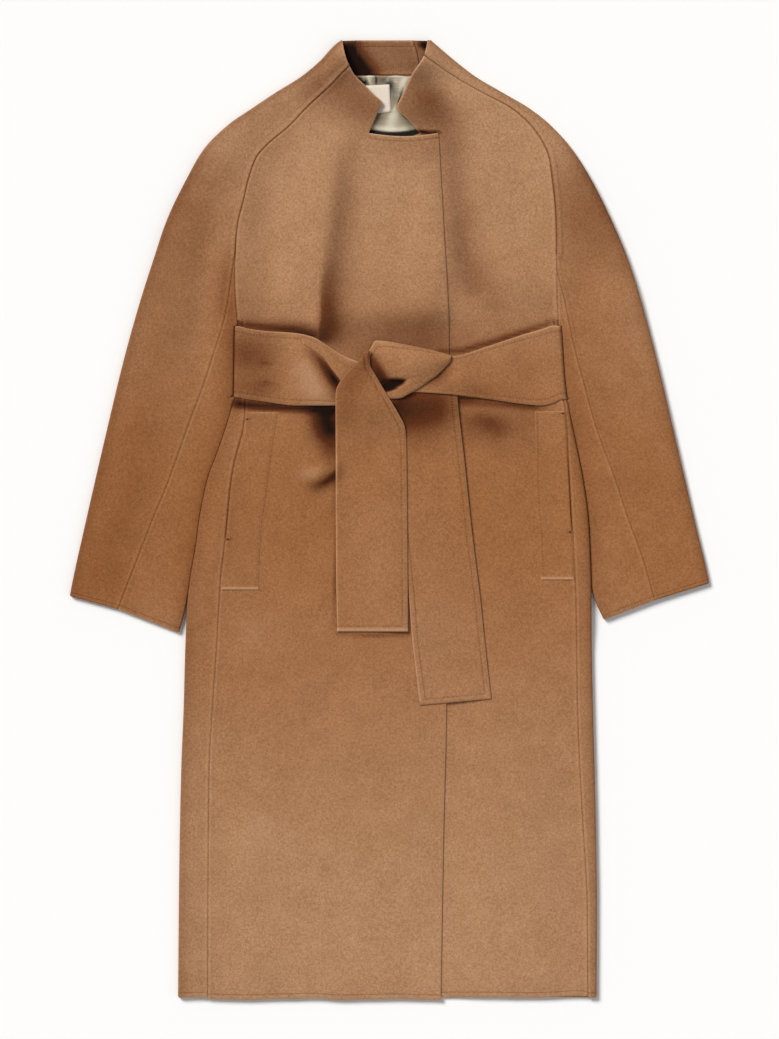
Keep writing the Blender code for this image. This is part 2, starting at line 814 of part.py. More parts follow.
def belt_loop(collection, finish):
    """The loop of the knot, domed, over the end of the right stretch."""
    points = []
    for top_x, top_y, low_x, low_y, rise, crown in BELT_LOOP:
        row = []
        for t in spaced(0, 1, 6):
            x, y = mix(top_x, low_x, t), mix(top_y, low_y, t)
            hollow = LOOP_HOLLOW * bell(x - 5.0, 10.0) * bell(y - 168.0, 8.0)
            row.append((x, y, on_coat(x, y) + rise + crown * math.sin(math.pi * t) - hollow))
        points.append(row)
    return sheet("belt_loop", points, BELT_WALL, collection, finish)


def tail_rows(table, steps):
    top, bottom = table[0][0], table[-1][0]
    return [(y, read(table, y, 1), read(table, y, 2)) for y in spaced(top, bottom, steps)]


def belt_tail_front(collection, finish):
    """The front end comes over the left stretch and lies partly on the rear end."""
    points = []
    for y, left, right in tail_rows(TAIL_FRONT, 22):
        row = []
        for x in spaced(left, right, 5):
            over_knot = TAIL_LIFT * step(y, 112.0, 152.0)
            rear = read(TAIL_REAR, y, 1)
            over_rear = (BELT_LIFT + 0.2) * step(x, rear - 26.0, rear - 8.0)
            row.append((x, y, on_coat(x, y) + max(over_knot, over_rear)))
        points.append(row)
    return sheet("belt_tail_front", points, BELT_WALL, collection, finish)


def belt_tail_rear(collection, finish):
    points = []
    for y, left, right in tail_rows(TAIL_REAR, 18):
        slant = 8.0 * step(y, -180.0, -227.0)
        row = []
        for t in spaced(0, 1, 5):
            x = mix(left, right, t)
            place = y + slant * (t - 0.75)
            row.append((x, place, on_coat(x, place)))
        points.append(row)
    return sheet("belt_tail_rear", points, BELT_WALL, collection, finish)


# ---------------------------------------------------------------- the coat


def clear():
    for found in list(bpy.data.objects):
        bpy.data.objects.remove(found, do_unlink=True)


def build():
    clear()
    coat = bpy.data.collections.new("wool_wrap_coat")
    bpy.context.scene.collection.children.link(coat)
    wool = material("wool", WOOL, 0.95)
    wool_under = material("wool_under", WOOL_UNDER, 0.95)
    satin = material("satin", SATIN, 0.35)
    cream = material("cream", CREAM, 0.8)
    back(coat, wool_under)
    front_left(coat, wool_under)
    front_right(coat, wool)
    collar_back(coat, wool_under)
    for side, word in ((-1, "right"), (1, "left")):
        upper_sleeve(f"sleeve_{word}_upper", side, coat, wool)
        under_sleeve(f"sleeve_{word}_under", side, coat, wool_under)
        welt(f"pocket_{word}_welt", side, coat, wool)
    lining(coat, satin)
    label(coat, cream)
    belt_round(coat, wool)
    belt_turn(coat, wool)
    belt_loop(coat, wool)
    belt_tail_front(coat, wool)
    belt_tail_rear(coat, wool)


build()
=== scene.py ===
"""A wool wrap coat laid flat: cloth shells, sewing, satin neck lining and a bare label.

Tables are in millimetres, with X across the coat, Y up to the collar and Z up.
"""

import math

import bmesh
import bpy
import numpy as np
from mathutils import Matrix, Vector


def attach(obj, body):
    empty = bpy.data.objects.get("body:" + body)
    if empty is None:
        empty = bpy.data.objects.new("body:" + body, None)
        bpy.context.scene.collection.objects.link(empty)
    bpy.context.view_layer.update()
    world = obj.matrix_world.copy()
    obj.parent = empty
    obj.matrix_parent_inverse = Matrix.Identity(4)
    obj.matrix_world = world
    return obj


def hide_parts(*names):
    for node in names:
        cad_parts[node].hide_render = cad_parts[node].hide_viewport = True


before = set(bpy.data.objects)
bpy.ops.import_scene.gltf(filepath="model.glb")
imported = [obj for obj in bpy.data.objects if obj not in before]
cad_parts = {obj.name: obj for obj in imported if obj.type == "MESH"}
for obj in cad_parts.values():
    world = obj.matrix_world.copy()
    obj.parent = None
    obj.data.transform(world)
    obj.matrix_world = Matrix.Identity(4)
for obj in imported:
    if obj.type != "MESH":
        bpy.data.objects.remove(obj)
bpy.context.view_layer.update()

MM = 0.001

# ---- sizes of the coat

WALL = 2.4  # double-faced wool
BELT_WALL = 3.0  # two layers sewn together
BELT_CLOTH = 2.6  # the same, pressed thin
LINING_WALL, LABEL_WALL, WELT_WALL = 0.7, 0.6, 1.0
SEAM_GAP = 0.3
SEAM_INSET = SEAM_GAP / 2
LAY_GAP = 0.4  # between layers of cloth that lie on each other
BELT_GAP = 0.3
REST = WALL / 2  # middle of cloth that lies on the surface
TOP_LAYER = 7.0  # middle of the fronts
UNDERLAP = 4.3  # middle of the left front under the right one
BODY_FOLD = 6.4  # middle to middle of the two layers at the body's sides
CUFF_FOLD = 5.4
BELT_LIFT = BELT_WALL + LAY_GAP
BELT_RISE = WALL / 2 + BELT_GAP + BELT_CLOTH / 2
ARMPIT = 247.0
ARMPIT_TOP = 250.0
HEM = -598.0
HEM_REACH = 60.0  # how far up the hem's waves fade out

# Topstitching off the edges of the fronts, cuffs, welts and collar, and of the belt
HEM_STITCH, CUFF_STITCH, WELT_STITCH, COLLAR_STITCH = 6.0, 5.0, 3.0, 7.0
BELT_STITCH = 6.8

# Widths of the belt: flat, on its turned stretch and round the loop of the knot
BELT_WIDTH, TURN_WIDTH, LOOP_WIDTH = 89.5, 22.0, 62.0

NECK_CENTRE = (-2.0, 517.0)
NECK_RISE = 4.5
NECK_REACH = 72.0
COLLAR_STAND = 12.0  # extra height of the collar's free edge
COLLAR_STAND_REACH = 44.0
COLLAR_TIP = 515.0
COLLAR_CURL = 5.0  # height of the top of the collar off the surface

# Raglan seam: y, x on the right front, x on the left front
RAGLAN = [
    (577, -49, 43),
    (566, -49.5, 59),
    (554, -61, 77),
    (541, -73, 99),
    (528, -87, 123),
    (513, -103, 151),
    (489, -126, 178),
    (468, -151, 192),
    (451, -166, 199),
    (423, -176, 203),
    (397, -182, 206),
    (369, -189, 207.5),
    (339, -192, 208),
    (303, -193, 209),
    (277, -192, 209.5),
    (247, -190, 210.5),
]

# Seam between the upper and the under sleeve: y, x on the right, x on the left
SLEEVE_SEAM = [
    (336, -192.2, 208.1),
    (318, -194.8, 208.7),
    (303, -197, 210.6),
    (276, -201, 218),
    (246, -207, 224),
    (214, -217, 231),
    (173, -230, 242),
    (117, -251, 257.5),
    (44, -277, 284),
    (1, -295, 298),
    (-51, -315, 317),
    (-113, -339, 334),
]
SLEEVE_SEAM_TOP, SLEEVE_SEAM_FOOT = 336.0, -113.0

# Outer edge of the shoulders and sleeves: y, x on the right, x on the left
OUTLINE = [
    (598, -58, 50),
    (591, -68, 58),
    (571, -87, 82),
    (551, -111, 108),
    (531, -143, 142),
    (511, -173, 176),
    (491, -202, 201),
    (461, -232, 228),
    (423, -254, 252),
    (373, -278, 277),
    (323, -295, 298),
    (273, -311, 314),
    (198, -332, 334),
    (98, -356, 357.5),
    (-2, -379, 381),
    (-81, -396.5, 399.4),
    (-97, -399.4, 402),
]

# How far a sleeve row climbs from the seam to the outer edge: y at the seam, climb
SHOULDER_CLIMB = [
    (597, -1),
    (577, 1),
    (554, 1),
    (528, 5),
    (498, 9),
    (468, 15),
    (451, 16),
    (423, 13),
    (397, 7),
    (369, 1),
    (336, 0),
]

# Sides of the body: y, right edge, right seam, left seam, left edge
SIDES = [
    (247, -188.5, -183.5, 205, 209.5),
    (236, -189, -183.5, 206, 210.5),
    (152, -190.5, -180, 214, 217.5),
    (145, -194.5, -180.5, 218, 221.5),
    (134, -197, -180.5, 219.5, 223.5),
    (111, -204, -182.5, 222, 228),
    (83, -213.5, -191, 223, 234),
    (49, -226, -198, 225, 240.5),
    (1, -236, -203, 227.5, 247),
    (-33, -240.5, -206, 230, 249),
    (-77, -248, -211, 232, 250.5),
    (-102, -251, -212.5, 233, 251),
    (-164, -254, -216, 234, 251.5),
    (-236, -256, -221, 235, 253),
    (-312, -259, -225, 238, 255),
    (-402, -261, -226, 243, 257),
    (-478, -262, -226.5, 247, 258),
    (HEM, -263, -227, 248, 257.5),
]
BODY_EDGE, SIDE_SEAM = {-1: 1, 1: 4}, {-1: 2, 1: 3}  # columns of the two sides
WORDS = {-1: "right", 1: "left"}

# Room between the body's edge and the inner sleeve fold: y, right, left
SLEEVE_ROOM = [
    (247, 1.6, 1.6),
    (241.5, 1.7, 1.7),
    (240.7, 1.7, 5.7),
    (239.9, 5.7, 5.7),
    (151, 5.7, 5.7),
    (150.2, 2.4, 5.7),
    (148.6, 2.3, 5.7),
    (147.8, 2.2, 2.3),
    (130, 1.9, 1.9),
    (-80, 1.9, 1.9),
    (-102, 3, 7),
    (-126, 7, 17.5),
    (-142, 11, 24),
]
# Rows in which a sleeve makes room for the belt
BELT_ROWS = (241.5, 240.7, 239.9, 151.0, 150.2, 148.6, 147.8)
CUFF_INNER = (-142.0, -126.0)
CUFF_OUTER = (-97.0, -81.0)
CUFF_SEAM_DROP = (16.0, 21.0)

# Free edge of the collar and neck: y, x on the right front, x on the left front
NECK_EDGE = [
    (597, -59, 48),
    (577, -55, 43),
    (554, -44, 28),
    (541, -31, 22),
    (528, -18.5, 16),
    (519, -9, 11.5),
    (513, -12, 9),
    (498, -18.5, 23),
    (481, -26, 38),
]
NECK_TOP = 597.0
FRONT_TOPS = (565.5, 577.0)  # where the collar seams of the two fronts meet its free edge
FRONT_TOP_GAP = 0.8
NECKLINE = 481.0
COLLAR_SEAM_Y = 554.0
# Seams between the collar and the sleeves: y, x on the right, x on the left
COLLAR_SEAM = [
    (554, -42, 32),
    (566, -42, 37),
    (577, -42, 35.6),
    (593, -42, 30.8),
    (597, -42, 29.6),
]

# Back raglan seam, on the underside: y, x on the right, x on the left
BACK_RAGLAN = [
    (554, -45, 35),
    (528, -70, 95),
    (498, -105, 145),
    (451, -152, 190),
    (397, -178, 203),
    (336, -192.2, 208.1),
]

# Front edge of the right front: y, x
OVERLAP_EDGE = [
    (481, 61),
    (373, 67),
    (223, 74),
    (-231, 71),
    (-414, 67),
    (HEM - 3, 64),
]
NECKLINE_DIP = 4.0
FRONT_RIGHT_INNER = -26.0
FRONT_LEFT_INNER = 38.0
UNDERLAP_EDGE = -75.0
UNDERLAP_NECK = 471.0

# Edges of the belt where it lies on the fronts: x, top y, bottom y
BELT_EDGES = [
    (-194, 239.6, 151.2),
    (-157, 234, 146),
    (-116, 231, 141),
    (-96, 226, 141),
    (-82, 218, 141),
    (-59, 204, 141),
    (-43, 198, 143),
    (33, 203, 159),
    (77, 202, 155),
    (124, 215, 149),
    (166, 229, 143),
    (190, 236, 141),
    (207, 241.2, 145),
    (222, 240.3, 153),
]
BELT_LEVELS = ((239.6, 151.2), (240.3, 149.0))  # top and bottom at the right side and the left
BELT_FOLD = 3.6  # depth of the belt's fold at each side
BELT_ENDS = (-52.0, 40.0)  # where its two stretches end under the knot
BELT_SLANT = 22.0  # how far the left one's end leans, from its top to its lower edge
BAND_BELOW, BAND_ABOVE = (110.0, 146.0), (292.0, ARMPIT)  # where the belt's lift fades out
KNOT_X, KNOT_REACH, KNOT_RISE = 8.0, 38.0, 21.0  # the knot stands over the belt's top edge

# Turned stretch of the belt: place along it, top x, top y, lower x, lower y, puff
BELT_TURN = [
    (0, -108, 229.5, -110, 219, 0),
    (1, -94, 225.5, -95, 210.5, 0.6),
    (2, -82, 218.5, -82, 200.5, 1.5),
    (3, -70, 210.5, -72, 187, 1.5),
    (4, -59, 204, -62, 174, 0.8),
    (5, -48, 199, -52, 165, 0.2),
    (6, -37, 195, -42, 161, 0),
]

# Loop of the knot: place along it, top x, top y, lower x, lower y, rise, crown
BELT_LOOP = [
    (0, -31, 203, -9, 151, 3.6, 0),
    (1, -24, 211, 1, 149.5, 3.7, 0.5),
    (2, -17, 221.5, 12, 150, 4.6, 3),
    (3, -7, 221, 25, 156, 6.4, 6.2),
    (4, 14, 217.5, 37, 163, 6.6, 8),
    (5, 34, 213.5, 48, 171, 6.6, 7.5),
    (6, 52, 209.5, 58, 178, 6.6, 6),
    (7, 67, 205.5, 67, 187, 6.6, 3.5),
    (8, 77, 202.5, 75, 196, 6.6, 1.4),
]
TAIL_LIFT = 8.8

# Hanging ends of the belt: y, left x, right x
TAIL_FRONT = [
    (209, -29, -24.5),
    (194, -40, -25),
    (178, -56, -17),
    (157, -67, -5),
    (129, -67, 12),
    (114, -67, 19),
    (92, -67, 21),
    (-56, -66.5, 22.5),
    (-141, -65, 23),
]
TAIL_REAR = [
    (163, 4, 84),
    (148, -1, 85),
    (84, 6, 92),
    (-18, 16, 103),
    (-107, 25, 114),
    (-146, 28, 118),
    (-227, 38, 127),
]

# Inner edges of the pocket welts: y, x on the right front, x on the left front
WELTS = [
    (134, -138, 181),
    (93, -145, 182),
    (39, -152, 182.5),
    (-8, -159, 186),
    (-57, -162, 188.5),
    (-86, -163, 189.5),
]
WELT_TOPS = (133.0, 134.0)
WELT_BOTTOMS = (-89.5, -77.0)
BAR_TACKS = ((124.0, -26.0), (131.0, -17.0))  # y of the tacks at the two ends of an opening

# Folds as soft ridges: a path of (x, y, height), half width on its left and on its right.
# A path that runs down the coat has +X on its left.
FOLDS = [
    ([(-58, 492, 0), (-66, 465, 4), (-77, 398, 8.5), (-83, 348, 11), (-86, 298, 12),
      (-88, 226, 12), (-88, 210, 0)], 20, 46),
    ([(-96, 258, 0), (-50, 260, 3), (0, 263, 6.5), (52, 262, 6.5), (80, 258, 0)], 80, 24),
    ([(52, 490, 0), (62, 465, 6), (66, 390, 8), (70, 310, 9), (72, 262, 6), (74, 236, 0)], 30, 44),
    ([(76, 460, 0), (84, 430, -1.5), (92, 370, -2.5), (102, 323, -4), (115, 286, -4.5),
      (126, 270, 0)], 16, 16),
    ([(118, 470, 0), (126, 440, 2), (136, 360, 3.5), (146, 300, 4.5), (150, 262, 0)], 34, 26),
    ([(88, 270, 0), (120, 282, 5), (170, 280, 5), (204, 276, 0)], 40, 22),
    ([(-206, 282, 0), (-172, 280, 4), (-130, 277, 4), (-104, 270, 0)], 34, 20),
    ([(182, 470, 0), (196, 440, 3), (204, 380, 4), (207, 290, 3), (208, 262, 0)], 24, 34),
    ([(-166, 440, 0), (-178, 400, 2.5), (-188, 310, 2.5), (-190, 270, 0)], 20, 36),
    ([(-112, 150, 0), (-107, 133, 8), (-101, 111, 10), (-92, 89, 9), (-84, 70, 6), (-70, 60, 3),
      (-60, 52, 0)], 17, 34),
    ([(-130, 74, 0), (-108, 58, 4), (-92, 52, 9), (-76, 60, 7), (-62, 76, 0)], 24, 13),
    ([(-180, 96, 0), (-150, 84, 2), (-122, 84, 2), (-108, 92, 0)], 26, 26),
    ([(92, 136, 0), (108, 124, 4), (140, 112, 4.5), (176, 114, 3), (196, 118, 0)], 18, 22),
    ([(120, 120, 0), (132, 108, -2), (150, 104, -2), (162, 106, 0)], 10, 10),
    ([(-194, 70, 0), (-206, 20, 2), (-216, -50, 2), (-222, -84, 0)], 12, 12),
    ([(-150, -90, 0), (-90, -110, 2), (40, -100, 2), (120, -84, 0)], 60, 60),
    ([(-110, -260, 0), (-60, -300, 1.6), (20, -350, 1.8), (60, -420, 0)], 56, 50),
    ([(110, -240, 0), (140, -300, 1.6), (176, -420, 2), (196, -500, 0)], 40, 40),
    ([(-196, -380, 0), (-190, -430, 1.6), (-160, -540, 1.8), (-150, -590, 0)], 36, 40),
]


# ---- curves and steps


def step(value, start, end):
    """Smooth step from 0 at start to 1 at end."""
    t = np.clip((value - start) / (end - start), 0.0, 1.0)
    return t * t * (3.0 - 2.0 * t)


def bell(distance, width):
    return np.exp(-((distance / width) ** 2))


def mix(a, b, t):
    return a + (b - a) * t


def read(table, key, column=1):
    """One column of a table at a key, on a smooth curve that never overshoots."""
    rows = sorted(table, key=lambda row: row[0])
    keys = np.array([row[0] for row in rows], dtype=float)
    values = np.array([row[column] for row in rows], dtype=float)
    slopes = np.diff(values) / np.diff(keys)
    product = slopes[:-1] * slopes[1:]
    total = slopes[:-1] + slopes[1:]
    smooth = product > 0.0
    inner = np.where(smooth, 2.0 * product / np.where(smooth, total, 1.0), 0.0)
    tangents = np.concatenate([slopes[:1], inner, slopes[-1:]])
    key = np.clip(key, keys[0], keys[-1])
    i = np.clip(np.searchsorted(keys, key, side="right") - 1, 0, len(keys) - 2)
    span = keys[i + 1] - keys[i]
    t = (key - keys[i]) / span
    rise = values[i + 1] - values[i]
    start, end = tangents[i] * span, tangents[i + 1] * span
    return values[i] + t * (start + t * (3 * rise - 2 * start - end + t * (start + end - 2 * rise)))


def column_of(side):
    """Column of a two-sided table: the wearer's right is -1, the left is +1."""
    return 1 if side < 0 else 2


def spread(rows, x):
    """A value for each row, over all the columns of a grid."""
    return np.repeat(rows[:, None], x.shape[1], axis=1)


def distance(x, y, lines):
    """Distance in plan to the nearest of some lines of (x, y) points."""
    best = np.full(np.shape(x), 1000.0)
    for line in lines:
        for (ax, ay), (bx, by) in zip(line[:-1], line[1:]):
            dx, dy = bx - ax, by - ay
            t = np.clip(((x - ax) * dx + (y - ay) * dy) / (dx * dx + dy * dy + 1e-9), 0.0, 1.0)
            best = np.minimum(best, np.hypot(x - ax - t * dx, y - ay - t * dy))
    return best


def line_of(table, column, top, bottom, pitch=6.0):
    """A table's edge as a line of (x, y) points from one y to another."""
    count = max(2, int(abs(top - bottom) / pitch) + 1)
    return [(float(read(table, y, column)), float(y)) for y in np.linspace(top, bottom, count)]


# ---- heights of the layers


def body_edge(y, side):
    return read(SIDES, y, BODY_EDGE[side])


def side_seam(y, side):
    return read(SIDES, y, SIDE_SEAM[side])


def belt_band(y):
    """Share of the belt's lift, which fades out below the belt and above it."""
    return step(y, *BAND_BELOW) * step(y, *BAND_ABOVE)


def belt_top(x):
    return read(BELT_EDGES, x, 1) + KNOT_RISE * bell(x - KNOT_X, KNOT_REACH)


def ridge(x, y, fold):
    """A soft ridge along a path, with a slope of its own on each side."""
    path, left, right = fold
    nearest = np.full(np.shape(x), 1e9)
    turned = np.zeros(np.shape(x))
    height = np.zeros(np.shape(x))
    for (ax, ay, start), (bx, by, end) in zip(path[:-1], path[1:]):
        dx, dy = bx - ax, by - ay
        t = np.clip(((x - ax) * dx + (y - ay) * dy) / (dx * dx + dy * dy), 0.0, 1.0)
        gap = np.hypot(x - ax - t * dx, y - ay - t * dy)
        closer = gap < nearest
        nearest = np.where(closer, gap, nearest)
        turned = np.where(closer, dx * (y - ay) - dy * (x - ax), turned)
        height = np.where(closer, mix(start, end, t), height)
    return height * bell(nearest, np.where(turned > 0, left, right))


def ridges(x, y, folds):
    return sum(ridge(x, y, fold) for fold in folds)


def collar_stand(x, y):
    """Height of the collar, which rises to its free edges and lies flat at its corners."""
    rise = 0.0
    for side in (-1, 1):
        column = column_of(side)
        away = distance(x, y, [line_of(NECK_EDGE, column, NECK_TOP, COLLAR_TIP, 6.0)])
        room = side * (read(OUTLINE, y, column) - x)
        rise = np.maximum(rise, bell(away, COLLAR_STAND_REACH) * step(room, 2.0, 30.0))
    return COLLAR_STAND * rise * mix(0.2, 1.0, step(y, 536.0, 572.0)) * step(y, 430.0, COLLAR_TIP)


def collar_curl(x, y):
    """How far the top of the collar curls up off the surface."""
    return COLLAR_CURL * step(y, 552.0, 600.0) * step(np.abs(x + 5.0), 90.0, 60.0)


def relief(x, y):
    """Folds of the upper layer, which the belt presses down, and the raised collar."""
    low_edge = read(BELT_EDGES, x, 2)
    free = np.maximum(step(y, belt_top(x) - 4.0, belt_top(x) + 16.0),
                      step(y, low_edge + 2.0, low_edge - 14.0))
    reach = np.hypot(x - NECK_CENTRE[0], y - NECK_CENTRE[1])
    neck = NECK_RISE * bell(reach, NECK_REACH) + collar_stand(x, y) + collar_curl(x, y)
    return free * ridges(x, y, FOLDS) + neck


def side_top(y):
    """Middle of the upper layer at the sides."""
    above = TOP_LAYER + (REST + BELT_LIFT + BODY_FOLD - TOP_LAYER) * step(y, 330.0, ARMPIT)
    return np.where(y > ARMPIT, above, side_bottom(y) + BODY_FOLD)


def side_bottom(y):
    """Middle of the lower layer at the sides, which is lifted from the cuffs up to the belt."""
    return REST + BELT_LIFT * np.where(y > ARMPIT, belt_band(y), step(y, -170.0, -120.0))


def armpit_reach(y):
    """Share of the lift that the belt gives to the sleeves below the armpit."""
    return np.where(y < ARMPIT, step(y, 100.0, 165.0), 1.0)


def inboard(x, y):
    """Distance inwards from the nearer raglan seam or side fold of the body."""
    side = np.where(x < 10.0, -1, 1)
    raglan = np.where(side < 0, read(RAGLAN, y, 1), read(RAGLAN, y, 2))
    edge = np.where(side < 0, body_edge(y, -1), body_edge(y, 1))
    below = np.maximum(0.0, np.abs(edge - x) - BODY_FOLD / 2)
    return mix(below, np.abs(raglan - x), step(y, ARMPIT - 16.0, ARMPIT + 16.0))


def upper(x, y):
    """Middle of the upper layer of the body."""
    flat = TOP_LAYER + BELT_LIFT * belt_band(y)
    return flat + (side_top(y) - flat) * bell(inboard(x, y), 30.0) + relief(x, y)


def lower(x, y):
    """Middle of the back, on the surface and over the belt."""
    flat = REST + BELT_LIFT * belt_band(y)
    return flat + (side_bottom(y) - flat) * bell(inboard(x, y), 22.0)


def underlap(x, y):
    """Middle of the left front: under the right front, and free of it past its edge."""
    edge = read(OVERLAP_EDGE, y)
    under = step(x, edge + 60.0, edge + 4.0) * step(y, NECKLINE + 34.0, NECKLINE + 4.0)
    return upper(x, y) - (TOP_LAYER - UNDERLAP) * under


def sleeve_inner(y, side):
    """Inner folded edge of a sleeve."""
    return body_edge(y, side) + side * read(SLEEVE_ROOM, y, column_of(side))


def sleeve_bounds(y, side):
    """Where a sleeve starts: its raglan seam, and its inner edge below the armpit."""
    return np.where(y > ARMPIT, read(RAGLAN, y, column_of(side)),
                    sleeve_inner(y, side) + side * CUFF_FOLD / 2)


def sleeve_upper(x, y, side):
    """Middle of the upper layer of a sleeve."""
    outboard = np.maximum(0.0, side * (x - sleeve_bounds(y, side)))
    below = REST + CUFF_FOLD + (BELT_LIFT + BODY_FOLD - CUFF_FOLD) * armpit_reach(y)
    top = np.where(y < ARMPIT, below, side_top(y))
    folds = ridges(x, y, SLEEVE_FOLDS[column_of(side) - 1])
    return TOP_LAYER + (top - TOP_LAYER) * bell(outboard, 28.0) + relief(x, y) + folds


def sleeve_lower(x, y, side):
    """Middle of the lower layer of a sleeve."""
    outboard = np.maximum(0.0, side * (x - sleeve_bounds(y, side)))
    raised = np.where(y < ARMPIT, armpit_reach(y), belt_band(y))
    return REST + BELT_LIFT * raised * bell(outboard, 25.0) + collar_curl(x, y)


# Folds of the right sleeve and of the left sleeve, in the columns of the other folds
SLEEVE_FOLDS = (
    [
        ([(-200, 470, 0), (-222, 430, 2), (-258, 350, 5), (-266, 250, 4), (-276, 190, 0)], 22, 34),
        ([(-200, 360, 0), (-207, 330, 2), (-214, 280, 3), (-222, 240, 0)], 10, 14),
        ([(-290, 170, 0), (-306, 120, 2.5), (-344, -20, 2.5), (-360, -70, 0)], 34, 28),
    ],
    [
        ([(226, 450, 0), (236, 420, 3), (262, 350, 4), (292, 280, 3), (304, 240, 0)], 34, 24),
        ([(262, 300, 0), (284, 260, 2.5), (318, 100, 2.5), (340, 20, 0)], 36, 28),
        ([(236, 220, 0), (246, 180, 2.5), (276, 60, 2.5), (290, 20, 0)], 18, 26),
    ],
)


# ---- edges, seams and stitches

FINE = np.array([0.0, 0.45, 1.0, 1.8, 2.9, 4.1, 5.2, 6.1, 6.8, 7.5, 8.4, 10.0, 12.5])
ROUND = 2.0  # radius of a pressed edge
EDGE_SHADE = 0.16  # painted shade round the folded sides
EDGE_HIGHLIGHT = 0.4  # painted highlight on the edges, as a share
FOLD_DEPTH = 0.45  # depth of a side fold, as a share of half its height
FOLD_STEPS = 8  # flat steps round a side fold
PUFF = 0.12  # height of the swelling beside a pressed edge
# GROOVE_SHADE is painted shade in the groove of a row of topstitching
GROOVE_WIDTH, GROOVE_DEPTH, GROOVE_SHADE = 0.7, 0.2, 0.22
SHADE_FLOOR = -0.3  # lowest that the folds' painted shade goes: below 0 it is a painted highlight


def worn_down(d):
    """How far a pressed edge drops at a distance from it."""
    return 1.0 - roundness(d)


def pressed_edge(d):
    """Height and shade of a pressed edge at a distance from it."""
    return PUFF * bell(d - 3.0, 1.6) - worn_down(d), 0.0


def groove(d, stitch):
    """Share of the groove that a row of topstitching draws."""
    return bell(d - stitch, GROOVE_WIDTH)


def stitched_edge(d, stitch):
    """Height and painted shade of a pressed edge with a row of topstitching."""
    pulled = groove(d, stitch)
    puff = PUFF * bell(d - stitch * 0.5, stitch * 0.32)
    return puff - worn_down(d) - GROOVE_DEPTH * pulled, GROOVE_SHADE * pulled


def sewn_edge(d):
    """Height, and painted shade with a painted highlight on its ridge, beside a sewn seam at a
    distance from it.
    """
    height = 0.5 * bell(d - 2.4, 1.8) - 0.4 * bell(d, 0.8)
    return height, 0.32 * bell(d, 0.9) - 0.08 * bell(d - 2.4, 1.3)


def lapped_edge(d):
    """Height and painted shade, with a faint painted highlight, of the side of a seam on which the
    allowance is stitched down.
    """
    band = 0.55 * step(d, 8.4, 6.2) * step(d, 0.0, 1.6)
    shade = 0.7 * bell(d, 1.4) + 0.1 * bell(d - 7.6, 0.9) - 0.06 * bell(d - 4.0, 2.0)
    return band - 0.35 * bell(d, 0.8), shade


def roundness(d):
    """Share of the wall's thickness at a distance from its edge."""
    near = np.clip(d / ROUND, 0.0, 1.0)
    return np.clip(np.sqrt(1.0 - (1.0 - near) ** 2), 0.35, 1.0)


def shares(length, fine_start=True, fine_end=True, pitch=4.0):
    """Shares of the way along a length, close together near its edges."""
    start = FINE if fine_start else FINE[:1]
    end = FINE if fine_end else FINE[:1]
    room = length - start[-1] - end[-1]
    count = max(1, int(round(room / pitch)))
    middle = start[-1] + room * np.arange(1, count) / count
    return np.concatenate([start, middle, length - end[::-1]]) / length


def between(begin, finish, way):
    """A row of places for each pair of ends, at shares of the way."""
    begin, finish = np.asarray(begin, dtype=float), np.asarray(finish, dtype=float)
    return begin[:, None] + (finish - begin)[:, None] * way[None, :]


# ---- meshes

# Warmer tone at the waist and on the sleeves, as folds are written: the height is the share
WAIST_TONE = [
    ([(-420, 30, 0.56), (-230, 30, 0.74), (0, 20, 0.8), (230, 30, 0.76),
      (420, 30, 0.56)], 240, 320),
    ([(-230, -210, 0.1), (-130, -290, 0.12), (-20, -300, 0.07)], 90, 90),
]
SLEEVE_TONES = WAIST_TONE + [
    ([(-214, 460, 0), (-246, 380, 0.4), (-300, 200, 0.16), (-350, 0, 0.18),
      (-370, -100, 0.3)], 60, 80),
    ([(214, 460, 0), (246, 380, 0.42), (300, 200, 0.1), (350, 0, 0.1), (370, -100, 0.24)], 80, 60),
    # These two rows are painted shade, in the deeper tone, along the sleeves' inner folds beside
    # the body
    ([(-190, 350, 0), (-191, 300, 0.4), (-193, 270, 0.46), (-195, 210, 0.34), (-199, 150, 0.2),
      (-222, 80, 0.08), (-244, -20, 0.12), (-250, -100, 0.16)], 12, 28),
    ([(208, 350, 0), (211, 300, 0.14), (214, 240, 0.24), (219, 180, 0.22), (226, 130, 0.12),
      (240, 70, 0)], 48, 14),
]
# Painted shade on the sleeves, as folds are written; the row below 0 is a painted highlight near
# the left collar seam
SLEEVE_SHADES = [
    ([(-222, 480, 0), (-246, 430, 0.2), (-262, 360, 0.18), (-300, 200, 0.09),
      (-360, -80, 0.11)], 48, 44),
    ([(-190, 360, 0), (-190, 300, 0.2), (-192, 262, 0.22), (-195, 200, 0.1), (-200, 150, 0.05),
      (-218, 90, 0)], 10, 22),
    ([(-70, 590, 0.05), (-110, 530, 0.1), (-160, 490, 0.13), (-190, 440, 0.1),
      (-200, 400, 0)], 28, 28),
    ([(222, 480, 0), (246, 430, 0.25), (262, 360, 0.2), (276, 290, 0)], 48, 48),
    ([(46, 596, -0.06), (70, 572, -0.2), (96, 548, -0.14), (140, 510, 0)], 18, 18),
    ([(-58, 582, 0.1), (-64, 570, 0.26), (-80, 556, 0.2), (-88, 542, 0.28), (-102, 530, 0.18),
      (-120, 520, 0)], 16, 16),
]
